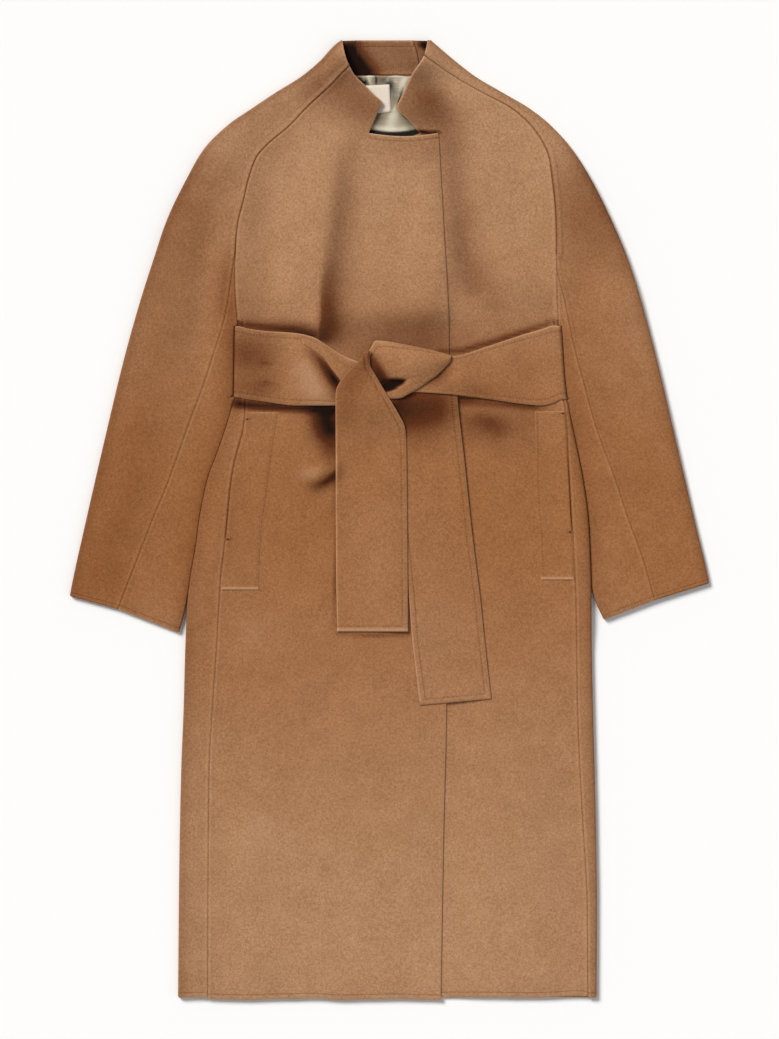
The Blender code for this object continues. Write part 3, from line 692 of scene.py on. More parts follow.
# Painted shade inside the folds and along the sides of the fronts; rows below 0 paint the cloth
# paler
SOFT_SHADES = [
    ([(-40, 492, 0), (-56, 440, 0.12), (-62, 390, 0.18), (-66, 348, 0.2), (-71, 298, 0.25),
      (-74, 236, 0.34), (-76, 208, 0)], 22, 13),
    ([(-92, 224, 0), (-60, 226, 0.16), (0, 230, 0.3), (44, 232, 0.3), (66, 230, 0.18),
      (84, 228, 0)], 34, 40),
    ([(70, 500, 0), (80, 440, 0.15), (86, 380, 0.19), (95, 326, 0.23), (110, 292, 0.25),
      (130, 272, 0.16), (150, 252, 0)], 26, 24),
    ([(32, 566, 0.16), (50, 522, 0.46), (66, 492, 0.34), (78, 440, 0)], 28, 36),
    ([(-198, 244, 0.12), (-160, 241, 0.24), (-128, 239, 0.34), (-108, 236, 0.42),
      (-95, 231, 0.42), (-84, 224, 0.2), (-76, 216, 0)], 10, 20),
    ([(-192, 470, 0), (-176, 410, 0.1), (-180, 340, 0.08), (-182, 290, 0.13),
      (-184, 240, 0.13)], 30, 40),
    ([(-74, 570, 0.1), (-52, 535, 0.32), (-28, 508, 0.34), (-30, 470, 0.05)], 38, 30),
    ([(-66, 576, 0.04), (-96, 530, 0.1), (-146, 480, 0.11), (-176, 440, 0.08),
      (-186, 400, 0)], 34, 34),
    ([(-10, 474, 0), (20, 466, 0.1), (50, 458, 0.1), (62, 450, 0)], 12, 24),
    ([(-58, 576, 0.1), (-66, 562, 0.2), (-78, 548, 0.24), (-90, 536, 0.26), (-104, 526, 0.16),
      (-120, 516, 0)], 14, 14),
    ([(56, 572, -0.06), (66, 554, -0.18), (80, 540, -0.15), (96, 528, -0.08),
      (116, 514, 0)], 12, 14),
    ([(8, 142, 0), (24, 132, 0.2), (60, 126, 0.2), (104, 122, 0.28), (136, 118, 0.3),
      (160, 122, 0.2), (184, 130, 0.1), (204, 134, 0)], 18, 26),
    ([(46, 216, 0.1), (80, 220, 0.16), (130, 230, 0.1), (196, 246, 0.08)], 22, 10),
    ([(-256, -150, 0.02), (-258, -400, 0.05), (-260, -560, 0.08), (-261, -594, 0.1)], 56, 20),
    ([(252, -150, 0.02), (254, -400, 0.05), (256, -594, 0.06)], 20, 70),
    ([(-200, -592, 0.03), (200, -592, 0.03)], 20, 20),
    ([(-190, -120, 0), (-168, -138, -0.07), (-124, -150, 0)], 16, 30),
    ([(-204, -380, 0), (-170, -394, -0.07), (-110, -410, 0)], 30, 40),
]


def strength(x, y, paths):
    """Share from 0 to 1 that some paths give to each place."""
    return np.clip(ridges(x, y, paths), 0.0, 1.0)


def add_object(name, data):
    """A new object of the scene, at its origin."""
    added = bpy.data.objects.new(name, data)
    bpy.context.scene.collection.objects.link(added)
    return added


def shell(name, points, wall, finish, shade=None, edge=None, kept=None, tones=WAIST_TONE):
    """A wall of cloth through a grid of points: its wall thins at pressed edges."""
    rows, columns = points.shape[:2]
    grid = bmesh.new()
    bmesh.ops.create_grid(grid, x_segments=columns - 1, y_segments=rows - 1, size=1.0)
    # The shade attribute holds painted shade, and painted highlights where it is below 0
    depth = grid.verts.layers.float.new("shade")
    tint = grid.verts.layers.float.new("tone")
    tone = strength(points[:, :, 0], points[:, :, 1], tones)
    weight = grid.verts.layers.deform.new()
    cut = []
    if kept is not None:
        for face in grid.faces:
            centre = face.calc_center_median()
            row = int((1.0 - centre.y) / 2.0 * (rows - 1))
            column = int((1.0 + centre.x) / 2.0 * (columns - 1))
            if not kept(row, column):
                cut.append(face)
    for vert in grid.verts:
        row = int(round((1.0 - vert.co.y) / 2.0 * (rows - 1)))
        column = int(round((1.0 + vert.co.x) / 2.0 * (columns - 1)))
        vert[depth] = 0.0 if shade is None else float(shade[row, column])
        vert[tint] = float(tone[row, column])
        vert[weight][0] = 1.0 if edge is None else float(edge[row, column])
        vert.co = points[row, column] * MM
    bmesh.ops.delete(grid, geom=cut, context="FACES")
    bmesh.ops.recalc_face_normals(grid, faces=grid.faces)
    mesh = bpy.data.meshes.new(name)
    grid.to_mesh(mesh)
    grid.free()
    mesh.shade_smooth()
    mesh.materials.append(finish)
    piece = add_object(name, mesh)
    piece.vertex_groups.new(name="thickness")
    thick = piece.modifiers.new("wall", "SOLIDIFY")
    thick.thickness = wall * MM
    thick.offset = 0.0
    thick.use_even_offset = False
    thick.vertex_group = "thickness"
    return piece


def soft_shade(x, y, shades):
    """Painted shade of soft folds, which is a painted highlight below 0."""
    return np.clip(ridges(x, y, shades), SHADE_FLOOR, 1.0)


def dressed(x, y, z, stitch, pressed=(), stitched=(), seams=(), hollows=(), lapped=(),
            edge_highlight=EDGE_HIGHLIGHT, unstitched=0.0):
    """Points, painted shade and wall share of cloth with its pressed, stitched and sewn edges."""
    near = [distance(x, y, lines) for lines in (pressed, stitched, seams, lapped)]
    near[1] = near[1] + unstitched
    made = [pressed_edge(near[0]), stitched_edge(near[1], stitch),
            sewn_edge(near[2]), lapped_edge(near[3])]
    points = np.stack([x, y, z + sum(height for height, _ in made)], axis=-1)
    shade = sum(line for _, line in made) + soft_shade(x, y, hollows)
    edge = np.minimum(near[0], near[1])
    # Painted highlight on the rims of pressed and stitched edges
    return points, np.minimum(shade, 1.0) - edge_highlight * bell(edge - 0.4, 0.9), roundness(edge)


STITCH_COLUMN = 8  # place of the stitched line among the fine columns at an edge
FAR_STITCH = -1 - STITCH_COLUMN  # the same at a far edge
stitched_lines = []


def sew(points, rows, columns, wall=WALL):
    """Note a row of topstitching that lies on some of a piece's points."""
    stitched_lines.append(points[rows, columns] + np.array([0.0, 0.0, wall / 2 + 0.05]))


def bar_tack(place, along):
    """Three short rows of stitches beside each other, half as long as the tack each way."""
    run = np.array([*along, 0.0])
    side = np.array([-along[1], along[0], 0.0]) / np.hypot(*along)
    for offset in (-0.8, 0.0, 0.8):
        stitched_lines.append(place + np.linspace(-1.0, 1.0, 3)[:, None] * run + offset * side)


# ---- edge lines


def neck_line(side):
    return line_of(NECK_EDGE, column_of(side), NECK_TOP, NECKLINE, 4.0)


def neckline_curve():
    edge = float(read(OVERLAP_EDGE, NECKLINE))
    xs = np.linspace(FRONT_RIGHT_INNER, edge, 16)
    t = (xs - FRONT_RIGHT_INNER) / (edge - FRONT_RIGHT_INNER)
    return [(x, NECKLINE - NECKLINE_DIP * math.sin(math.pi * s)) for x, s in zip(xs, t)]


def overlap_line():
    return line_of(OVERLAP_EDGE, 1, NECKLINE, HEM - 3, 12.0)


def raglan_line(side):
    column = column_of(side)
    return line_of(RAGLAN, column, FRONT_TOPS[column - 1], ARMPIT_TOP, 5.0)


def side_line(side):
    return line_of(SIDES, SIDE_SEAM[side], ARMPIT, HEM, 10.0)


def sleeve_line(side):
    return line_of(SLEEVE_SEAM, column_of(side), SLEEVE_SEAM_TOP, SLEEVE_SEAM_FOOT, 8.0)


def hem_wave(x):
    """Small waves of the hem, uneven along it."""
    return 0.9 * np.sin(x / 21.0 + 0.6) + 0.6 * np.sin(x / 9.5 + 1.9) * np.sin(x / 60.0)


# ---- panels


def front_seam(y, side):
    """Where a front meets its sleeve above the armpit, and the side strip below it."""
    raglan = read(RAGLAN, y, column_of(side))
    seam = np.where(y > ARMPIT + SEAM_INSET, raglan, side_seam(y, side))
    return seam - side * SEAM_INSET


def front_rows(top):
    above = top - (top - NECKLINE) * shares(top - NECKLINE, False, False, 2.5)
    below = NECKLINE - (NECKLINE - HEM) * shares(NECKLINE - HEM, True, True, 4.0)
    below = np.sort(np.append(below, [ARMPIT + SEAM_GAP, ARMPIT]))[::-1]
    return np.concatenate([above[:-1], below]), len(above) - 1


# Painted shade in the deep places of the fronts, as folds are written: the height is the share of
# painted shade, and the row below 0 is a painted highlight on the bulge below the belt
FRONT_HOLLOWS = [
    ([(-196, 145, 0.5), (-186, 143, 1), (-168, 141, 0.9), (-150, 140, 0.9), (-110, 137, 0.9),
      (-70, 136, 0.6), (-60, 136, 0)], 6, 6),
    ([(10, 150, 0), (30, 140, 0.6), (60, 146, 0.5), (120, 144, 0.4), (180, 140, 0.5),
      (206, 142, 0)], 14, 5),
    ([(-80, 150, 0.7), (-81, 134, 0.85), (-79, 122, 1), (-74, 108, 1), (-71, 96, 0.6),
      (-70, 80, 0.34), (-68, 62, 0.14)], 20, 19),
    ([(218.5, 130, 0.1), (221, 83, 0.3), (223.5, 49, 0.5), (226, 1, 0.6), (227.3, -14, 0.3),
      (227.6, -22, 0)], 1.8, 1.4),
    ([(-181, 124, 0.1), (-189.6, 83, 0.3), (-196.4, 49, 0.35), (-201.6, 1, 0.4),
      (-204, -22, 0.3), (-205, -30, 0)], 1.4, 1.8),
    ([(-102, 39, 0), (-91, 42, 0.26), (-81, 46, 0.5), (-71, 53, 0.62), (-62, 60, 0.5)], 4, 5.5),
    ([(-122, 50, 0), (-106, 54, -0.12), (-92, 56, -0.16), (-78, 64, -0.12), (-66, 74, 0)], 9, 7),
    ([(104, 134, 0), (112, 126, 0.12), (126, 118, 0.16), (138, 110, 0.1), (150, 106, 0)], 12, 12),
    ([(-197, 243, 0.3), (-160, 239, 0.4), (-120, 235, 0.45), (-96, 228, 0.4)], 4, 4),
    ([(62, 207, 0.3), (90, 209, 0.5), (130, 220, 0.52), (170, 233, 0.5), (206, 245, 0.3)], 5, 4),
    ([(-69, 56, 0.1), (-68.7, 20, 0.3), (-68.3, -56, 0.34), (-67, -136, 0.3),
      (-66.6, -142, 0)], 3, 1.7),
    ([(-66, -143, 0.3), (-20, -145, 0.42), (24, -144, 0.3)], 2.5, 3.2),
    ([(-78, 330, 0), (-83, 300, 0.22), (-84.5, 262, 0.34), (-85, 232, 0.36),
      (-85, 215, 0)], 13, 2.5),
]


def front_grid(side, centre, edge, main_way, flap_way):
    """Points of a front and its flap, its flap's columns, the neckline's row, the neck's column."""
    column = column_of(side)
    rows, neckline = front_rows(FRONT_TOPS[column - 1] - FRONT_TOP_GAP)
    above = np.arange(len(rows)) < neckline
    inner = np.where(above, read(NECK_EDGE, rows, column), centre)
    main = between(front_seam(rows, side), inner, main_way)
    x = np.hstack([main, between(inner, edge(rows), flap_way)[:, 1:]])
    over = (np.arange(x.shape[1]) >= main.shape[1])[None, :]
    return x, spread(rows, x), over, neckline, main.shape[1] - 1


def front_right(wool):
    """The right front with its cut-on collar, over the left one."""
    x, y, over, neckline, neck = front_grid(
        -1, FRONT_RIGHT_INNER, lambda rows: read(OVERLAP_EDGE, rows),
        shares(160.0), shares(95.0, False, True))
    edge = read(OVERLAP_EDGE, y[:, :1])
    t = np.clip((x - FRONT_RIGHT_INNER) / (edge - FRONT_RIGHT_INNER), 0.0, 1.0)
    dip = NECKLINE_DIP * np.sin(math.pi * t) * step(y, NECKLINE - 40.0, NECKLINE)
    y = y - np.where(over, dip, 0.0)
    low = step(y, HEM + HEM_REACH, HEM)
    y = y - low * (2.0 + 1.4 * t) + low * hem_wave(x)
    beside_neck = (x < FRONT_RIGHT_INNER) & (y > NECKLINE - 20.0)
    points, shade, edges = dressed(
        x, y, upper(x, y), HEM_STITCH, [neck_line(-1), overlap_line()],
        [neckline_curve(), hem_line(x, y)], [raglan_line(-1), side_line(-1)],
        FRONT_HOLLOWS + SOFT_SHADES, unstitched=100.0 * beside_neck)
    sew(points, neckline + STITCH_COLUMN, slice(neck, FAR_STITCH))
    sew(points, FAR_STITCH, slice(1, -1))
    return shell("coat_front_right", points, WALL, wool, shade, edges,
                 kept=lambda row, column: column < neck or row >= neckline)


def hem_line(x, y):
    """The lowest row of a grid as a line."""
    return list(zip(x[-1, ::3], y[-1, ::3])) + [(x[-1, -1], y[-1, -1])]


# Painted shade on the left front along the edge of the right front's neckline
NECKLINE_HOLLOW = [
    ([(32, 486, 0), (38, 483, 1), (50, 481.5, 0.9), (60, 482, 0.7), (64, 480, 0)], 2.2, 3),
]


def front_left(wool):
    """The left front with its cut-on collar and its underlap."""
    x, y, over, neckline, neck = front_grid(
        1, FRONT_LEFT_INNER, lambda rows: np.full(len(rows), UNDERLAP_EDGE),
        shares(165.0), shares(113.0, False, True, 8.0))
    drop = np.maximum(y - UNDERLAP_NECK, 0.0) * step(x, FRONT_LEFT_INNER, FRONT_LEFT_INNER - 20.0)
    y = y - np.where(over, drop, 0.0)
    low = step(y, HEM + HEM_REACH, HEM)
    y = y + low * (0.6 * hem_wave(x + 40.0) + 1.6 * step(x, 150.0, 250.0))
    underlap_edge = [(UNDERLAP_EDGE, UNDERLAP_NECK), (UNDERLAP_EDGE, HEM)]
    points, shade, edges = dressed(
        x, y, underlap(x, y), HEM_STITCH, [neck_line(1), underlap_edge], [hem_line(x, y)],
        [raglan_line(1), side_line(1)], FRONT_HOLLOWS + SOFT_SHADES + NECKLINE_HOLLOW)
    sew(points, FAR_STITCH, slice(1, neck))
    return shell("coat_front_left", points, WALL, wool, shade, edges,
                 kept=lambda row, column: column < neck or row >= neckline)


def fold_arc(outermost, direction, top, bottom, steps, inset):
    """Half a turn of cloth at a folded edge for each row, from its top to its underside."""
    radius = (top - bottom)[:, None] / 2
    depth = inset[:, None]
    middle = (top + bottom)[:, None] / 2
    angle = np.linspace(math.pi / 2, -math.pi / 2, steps + 1)[None, :]
    reach = depth * np.cos(angle) - depth
    x = outermost[0][:, None] + direction[0][:, None] * reach
    y = outermost[1][:, None] + direction[1][:, None] * reach
    return x, y, middle + radius * np.sin(angle)


def across(halves, level):
    """The rows of two sides joined under the coat by a flat stretch."""
    right, left = halves
    middle = np.linspace(0.0, 1.0, 40)[1:-1]
    x, y = (between(right[k][:, -1], left[k][:, -1], middle) for k in (0, 1))
    return [np.hstack([r, m, l[:, ::-1]]) for r, m, l in zip(right, (x, y, level(x, y)), left)]


def back(wool):
    """The back, with the strips that come round both sides to the forward seams."""
    upper_rows = np.linspace(COLLAR_SEAM_Y, ARMPIT_TOP, 60)
    lower_rows = ARMPIT - (ARMPIT - HEM) * shares(ARMPIT - HEM, False, True, 4.0)
    strip = shares(24.0, True, False, 4.0)
    depth = np.full(len(lower_rows), FOLD_DEPTH * BODY_FOLD / 2)
    halves = []
    for side in (-1, 1):
        outward = np.full(len(lower_rows), float(side))
        edge = body_edge(lower_rows, side)
        seam = side_seam(lower_rows, side) + side * SEAM_INSET
        x = between(seam, edge - side * depth, strip)
        y = spread(lower_rows, x)
        y = y + step(y, HEM + HEM_REACH, HEM) * (0.5 * hem_wave(x) - 0.5)
        arc = fold_arc((edge, y[:, -1]), (outward, 0.0 * outward), side_top(lower_rows),
                       side_bottom(lower_rows), FOLD_STEPS, depth)
        joined = [np.hstack([flat[:, :-1], bend]) for flat, bend in zip((x, y, upper(x, y)), arc)]
        seam = back_seam(upper_rows, side) - side * SEAM_INSET
        rim = between(seam + side * 0.4, seam - side * 3.2,
                      np.linspace(0.0, 1.0, joined[0].shape[1]))
        level = spread(upper_rows, rim)
        flat = (rim, level, lower(rim, level))
        halves.append([np.vstack(pair) for pair in zip(flat, joined)])
    x, y, z = across(halves, lower)
    points, shade, edges = dressed(x, y, z, HEM_STITCH, [], [hem_line(x, y)],
                                   [side_line(-1), side_line(1)])
    armpit = len(upper_rows)
    first = len(strip) - 1 + FOLD_STEPS // 2
    last = points.shape[1] - 2 - first
    rim = np.minimum(x - body_edge(y, -1), body_edge(y, 1) - x)
    # Painted shade of the fronts' folds on the strips, and painted shade round the side folds
    soft = soft_shade(x, y, FRONT_HOLLOWS + SOFT_SHADES) * (z > TOP_LAYER)
    shade = np.minimum(1.0, shade + soft + EDGE_SHADE * bell(rim, 8.0))
    return shell("coat_back", points, WALL, wool, shade, edges,
                 kept=lambda row, column: row >= armpit or first < column < last)


def back_seam(y, side):
    column = column_of(side)
    below = np.where(y > SLEEVE_SEAM_TOP, read(BACK_RAGLAN, y, column), read(RAGLAN, y, column))
    return np.where(y > COLLAR_SEAM_Y, read(COLLAR_SEAM, y, column), below)


def towards(begin, finish, gap):
    """Points moved in plan towards others, to leave the gap of a seam."""
    run = finish - begin
    return begin + run * gap / np.hypot(run[:, 0], run[:, 1])[:, None]


def tube_rows(side, start, outermost, end, way, low_way):
    """Rows of a sleeve's tube: the upper layer, the folded edge and the lower layer."""
    def top_of(x, y):
        return sleeve_upper(x, y, side)

    def bottom_of(x, y):
        return sleeve_lower(x, y, side)

    start, end = towards(start, outermost, SEAM_INSET), towards(end, outermost, SEAM_INSET)
    run = outermost - start
    length = np.hypot(run[:, 0], run[:, 1])
    direction = run / length[:, None]
    height = top_of(*outermost.T) - bottom_of(*outermost.T)
    inset = np.minimum(FOLD_DEPTH * 0.5 * height, 0.45 * length)
    turn = outermost - direction * inset[:, None]
    top = [between(start[:, k], turn[:, k], way)[:, :-1] for k in (0, 1)]
    low = [between(turn[:, k], end[:, k], low_way)[:, 1:] for k in (0, 1)]
    arc = fold_arc(outermost.T, direction.T, top_of(*turn.T), bottom_of(*turn.T),
                   FOLD_STEPS, inset)
    x = np.hstack([top[0], arc[0], low[0]])
    y = np.hstack([top[1], arc[1], low[1]])
    return x, y, np.hstack([top_of(*top), arc[2], bottom_of(*low)])


def cuff_rows(side):
    """Seam point, outer point and inner point of the sleeve rows below the armpit."""
    column = column_of(side)
    cuff_inner, cuff_outer = CUFF_INNER[column - 1], CUFF_OUTER[column - 1]
    beside_belt = (ARMPIT - np.array(BELT_ROWS)) / (ARMPIT - cuff_inner)
    t = np.sort(np.append(shares(ARMPIT - cuff_inner, False, True, 4.0), beside_belt))
    y = mix(ARMPIT, cuff_outer, t)
    seam_y = y - CUFF_SEAM_DROP[column - 1] * t
    inner_y = mix(ARMPIT, cuff_inner, t)
    seam = np.stack([read(SLEEVE_SEAM, seam_y, column), seam_y], axis=-1)
    outer = np.stack([read(OUTLINE, y, column) - side * REST, y], axis=-1)
    inner = np.stack([sleeve_inner(inner_y, side), inner_y], axis=-1)
    return seam, outer, inner


def cuff_line(side):
    seam, outer, inner = cuff_rows(side)
    return [tuple(outer[-1]), tuple(seam[-1]), tuple(inner[-1])]


def upper_sleeve(side, wool):
    """A top sleeve, over the shoulder from the front seam to the back seam."""
    column = column_of(side)
    rows = np.linspace(NECK_TOP, ARMPIT_TOP, 100)
    collar_seam = FRONT_TOPS[column - 1]
    raglan = read(RAGLAN, rows, column)
    front_x = np.where(rows > collar_seam, read(NECK_EDGE, rows, column), raglan)
    front_x = np.where(rows <= SLEEVE_SEAM_TOP, read(SLEEVE_SEAM, rows, column), front_x)
    rear_x = np.where(rows > SLEEVE_SEAM_TOP, back_seam(rows, side), front_x)
    outer_y = rows + read(SHOULDER_CLIMB, rows)
    outer = np.stack([read(OUTLINE, outer_y, column) - side * REST, outer_y], axis=-1)
    low_front, low_outer, _ = cuff_rows(side)
    front = np.vstack([np.stack([front_x, rows], axis=-1), low_front])
    rear = np.vstack([np.stack([rear_x, rows], axis=-1), low_front])
    outer = np.vstack([outer, low_outer])
    low_way = shares(100.0, False, True, 8.0)
    x, y, z = tube_rows(side, front, outer, rear, shares(100.0, True, False), low_way)
    neck = line_of(NECK_EDGE, column, NECK_TOP, collar_seam, 4.0)
    points, shade, edges = dressed(x, y, z, CUFF_STITCH, [neck], [cuff_line(side)],
                                   [sleeve_line(side)], SLEEVE_SHADES, [raglan_line(side)[:-16]])
    rear_layer = (np.arange(x.shape[1]) > x.shape[1] - len(low_way))[None, :]
    # Painted shade inside the collar on the lower layer, and painted shade round the outer fold
    inside = rear_layer * step(y, COLLAR_SEAM_Y - 6.0, COLLAR_SEAM_Y)
    dim = np.clip(ridges(x, y, NECK_HOLLOWS) + NECK_DIM, 0.0, 1.0)
    shade = np.maximum(shade, inside * dim)
    rim = side * (read(OUTLINE, y, column) - x)
    shade = np.minimum(1.0, shade + EDGE_SHADE * bell(rim, 9.0))
    sew(points, FAR_STITCH, slice(1, x.shape[1] // 2 - 4))
    return shell(f"sleeve_{WORDS[side]}_top", points, WALL, wool, shade, edges,
                 tones=SLEEVE_TONES)


def under_sleeve(side, wool):
    """The under sleeve, which starts as a wedge between the top sleeve and the body."""
    column = column_of(side)
    first_y = SLEEVE_SEAM_TOP - 2.0
    wedge = np.linspace(first_y, ARMPIT_TOP, 16)
    seam, _, inner = cuff_rows(side)
    way = shares(40.0, True, False)
    rows = tube_rows(side, seam, inner, seam, way, shares(40.0, False, True, 8.0))
    top_count = len(way) - 1 + FOLD_STEPS // 2
    seam_x = read(SLEEVE_SEAM, wedge, column) - side * SEAM_INSET
    body_x = read(RAGLAN, wedge, column) + side * SEAM_INSET
    top_x = between(seam_x, body_x, np.linspace(0.0, 1.0, top_count + 1))
    low_x = between(body_x, seam_x, np.linspace(0.0, 1.0, rows[0].shape[1] - top_count - 1))
    top_y, low_y = spread(wedge, top_x), spread(wedge, low_x)
    top = (top_x, top_y, sleeve_upper(top_x, top_y, side))
    low = (low_x, low_y, sleeve_lower(low_x, low_y, side))
    x, y, z = (np.vstack([np.hstack([t, l]), r]) for t, l, r in zip(top, low, rows))
    body = line_of(RAGLAN, column, first_y, ARMPIT_TOP, 6.0)
    points, shade, edges = dressed(x, y, z, CUFF_STITCH, [], [cuff_line(side)],
                                   [sleeve_line(side), body], SLEEVE_SHADES)
    sew(points, FAR_STITCH, slice(1, top_count))
    rim = side * (x - sleeve_inner(y, side))
    # Painted shade on the under sleeve beside the body, below the armpit
    shade = np.minimum(1.0, shade + 0.12 * bell(rim, 12.0) * step(y, 250.0, 220.0))
    return shell(f"sleeve_{WORDS[side]}_below", points, WALL, wool, shade, edges,
                 kept=lambda row, place: row >= len(wedge) or place != top_count,
                 tones=SLEEVE_TONES)


def collar_back(wool):
    """The back part of the collar, between the tops of the sleeves."""
    top = NECK_TOP
    rows = top - (top - COLLAR_SEAM_Y - SEAM_GAP) * shares(top - COLLAR_SEAM_Y, True, True, 3.0)
    right = read(COLLAR_SEAM, rows, 1) + SEAM_INSET
    left = read(COLLAR_SEAM, rows, 2) - SEAM_INSET
    x = between(right, left, shares(74.0, True, True))
    y = spread(rows, x)
    z = REST + 0.8 + collar_curl(x, y) * step(y, COLLAR_SEAM_Y, COLLAR_SEAM_Y + 14.0)
    rim = [(right[0], top), (left[0], top)]
    seams = [line_of(COLLAR_SEAM, column, top, COLLAR_SEAM_Y) for column in (1, 2)]
    seams.append([(right[-1], COLLAR_SEAM_Y), (left[-1], COLLAR_SEAM_Y)])
    points, shade, edges = dressed(x, y, z, COLLAR_STITCH, [], [rim], seams, NECK_HOLLOWS)
    sew(points, STITCH_COLUMN, slice(1, -1))
    # Painted shade all over the band, deepest in the hollows inside the collar
    shade = np.clip(shade + NECK_DIM, -0.2, 1.0)
    return shell("collar_back_band", points, WALL, wool, shade, edges)


NECK_DIM = 0.29  # share of painted shade all over the inside of the collar
# Painted shade in the deep places inside the collar, as folds are written: the height is the share
# of it
NECK_HOLLOWS = [
    ([(-62, 600, 0), (-58, 593, 0.4), (-56, 588, 1.1), (-50, 574, 1.2), (-41, 562, 1.2),
      (-32, 552, 1.1), (-28, 542, 0.7)], 16, 15),
    ([(38, 600, 0), (42, 593, 0.9), (46, 588, 0.8), (44, 582, 0)], 6, 6),
]

LINING_TOP, LINING_FOOT = 552.4, 452.0
LINING_SIDES = ((-40.0, -52.0), (30.0, 46.0))  # x at the collar seam and at the neckline
LINING_RISE = 2.2  # how far the satin bulges off the back
PLEAT_TOP, PLEAT_EDGE, PLEAT_DEPTH = 546.0, -16.6, 2.2
SATIN_FOOT = 482.5  # where the satin falls back to the band below it


def lining(satin):
    """Satin in the neck, with a pleat from the collar seam and soft folds below it."""
    rows = np.linspace(LINING_TOP, LINING_FOOT, 120)
    reach = step(rows, 560.0, 500.0)
    right, left = (mix(*side, reach) for side in LINING_SIDES)
    x = between(right, left, np.linspace(0.0, 1.0, 110))
    y = spread(rows, x) + 0.9 * np.sin(x / 5.0) * step(rows, 530.0, 552.0)[:, None]
    base = WALL + LAY_GAP + LINING_WALL / 2
    fold = step(x, PLEAT_EDGE - 2.4, PLEAT_EDGE) - step(x, PLEAT_EDGE, PLEAT_EDGE + 8.6)
    pleat = PLEAT_DEPTH * bell(y - PLEAT_TOP, 12.0) * fold
    rim = 0.9 * bell(y - 552.0, 1.1)
    foot = SATIN_FOOT + 3.8 * ((x - 5.0) / 30.0) ** 2
    fallen = step(y, foot + 1.0, foot - 1.0)
    z = base + LINING_RISE + ridges(x, y, SATIN_FOLDS) + pleat + rim - 2.0 * fallen
    points = np.stack([x, y, np.maximum(z, base)], axis=-1)
    # Painted shade between the folds, painted highlights on them and on the top rim; where the
    # satin falls back it is painted near black
    painted = np.clip(ridges(x, y, SATIN_SHADES) - 0.5 * rim, -0.6, 1.0)
    shade = mix(painted, 0.98, fallen)
    return shell("neck_lining", points, LINING_WALL, satin, shade)


SATIN_FOLDS = [
    ([(-34, 552, 0), (-30, 546, 2.2), (-26, 541, 0)], 3, 4),
    ([(-26, 553, 0), (-22, 549, 2.4), (-12, 540, 0)], 3, 4),
    ([(-2, 552, 0), (0, 546, 2.2), (-4, 536, 1.6), (-6, 530, 0)], 3.5, 5),
    ([(14, 552, 0), (13, 544, 3.4), (9, 526, 4.2), (5, 512, 2.6), (2, 500, 2.2),
      (2, 488, 0)], 9, 9),
    ([(23, 548, 0), (21, 536, 2.4), (16, 520, 3), (10, 508, 0)], 3, 3.5),
    ([(8, 512, 0), (16, 504, 1.6), (25, 492, 2), (30, 484, 0)], 4, 6),
    ([(-6, 512, 0), (-12, 502, 1.6), (-20, 490, 2), (-24, 484, 0)], 6, 4),
]
# Painted shade between the folds and, below 0, painted highlights on them, as folds are written:
# the height is the share
SATIN_SHADES = [
    ([(-46, 551, 0.8), (-38, 549, 1.1), (-31, 545, 1.1), (-26, 541, 0.4), (-22, 538, 0)], 4.5, 6),
    ([(-17, 553, 0.6), (-17, 548, 1.1), (-16.5, 541, 0.5)], 1.6, 1.6),
    ([(-13, 550, 0.4), (-6, 547, 0.8), (1, 541, 0.6), (6, 532, 0.3), (8, 526, 0)], 6, 6),
    ([(18, 540, 0), (15, 530, 1), (11, 520, 1), (8, 511, 0)], 1.8, 2),
    ([(3, 540, 0.3), (5, 528, 0.42), (2, 514, 0.4), (-8, 502, 0.2)], 6, 8),
    ([(-26, 514, 0.6), (-20, 505, 0.5), (-16, 498, 0.3), (-12, 490, 0)], 7, 9),
    ([(14, 514, 0.2), (18, 504, 0.5), (26, 493, 0.6), (32, 486, 0.3)], 6, 6),
    ([(-27, 550, -0.3), (-25, 546, -0.6), (-23, 540, -0.3)], 2.4, 2.4),
    ([(22, 553, -0.4), (18, 547, -0.55), (15, 540, -0.5), (12, 530, -0.2), (11, 524, 0)], 4, 4),
    ([(12, 528, -0.4), (9, 518, -0.5), (6, 511, -0.4)], 1.4, 1.4),
    ([(6, 514, -0.3), (5, 504, -0.5), (2, 494, -0.5), (0, 486, -0.3)], 7, 7),
    ([(-24, 490, -0.2), (-10, 487, -0.4), (14, 486, -0.4), (28, 489, -0.3)], 3.5, 3),
]


LABEL_TOP, LABEL_FOOT = 542.0, 507.0
LABEL_SIDES = (-30.0, 0.0)
LABEL_LEAN = 2.0  # how far its foot is off to the wearer's left
LABEL_RISE = 4.6  # how far it is off the satin's lowest places


def label(tape):
    """The bare neck label."""
    way = np.linspace(0.0, 1.0, 12)
    right, left = (side + LABEL_LEAN * way for side in LABEL_SIDES)
    x = between(right, left, way)
    y = spread(mix(LABEL_TOP, LABEL_FOOT, way), x) + 0.05 * x
    z = WALL + LAY_GAP + LINING_WALL + LABEL_RISE + 0.4 * np.sin(x / 9.0) + 0.02 * (y - 520.0)
    return shell("neck_label", np.stack([x, y, z], axis=-1), LABEL_WALL, tape)


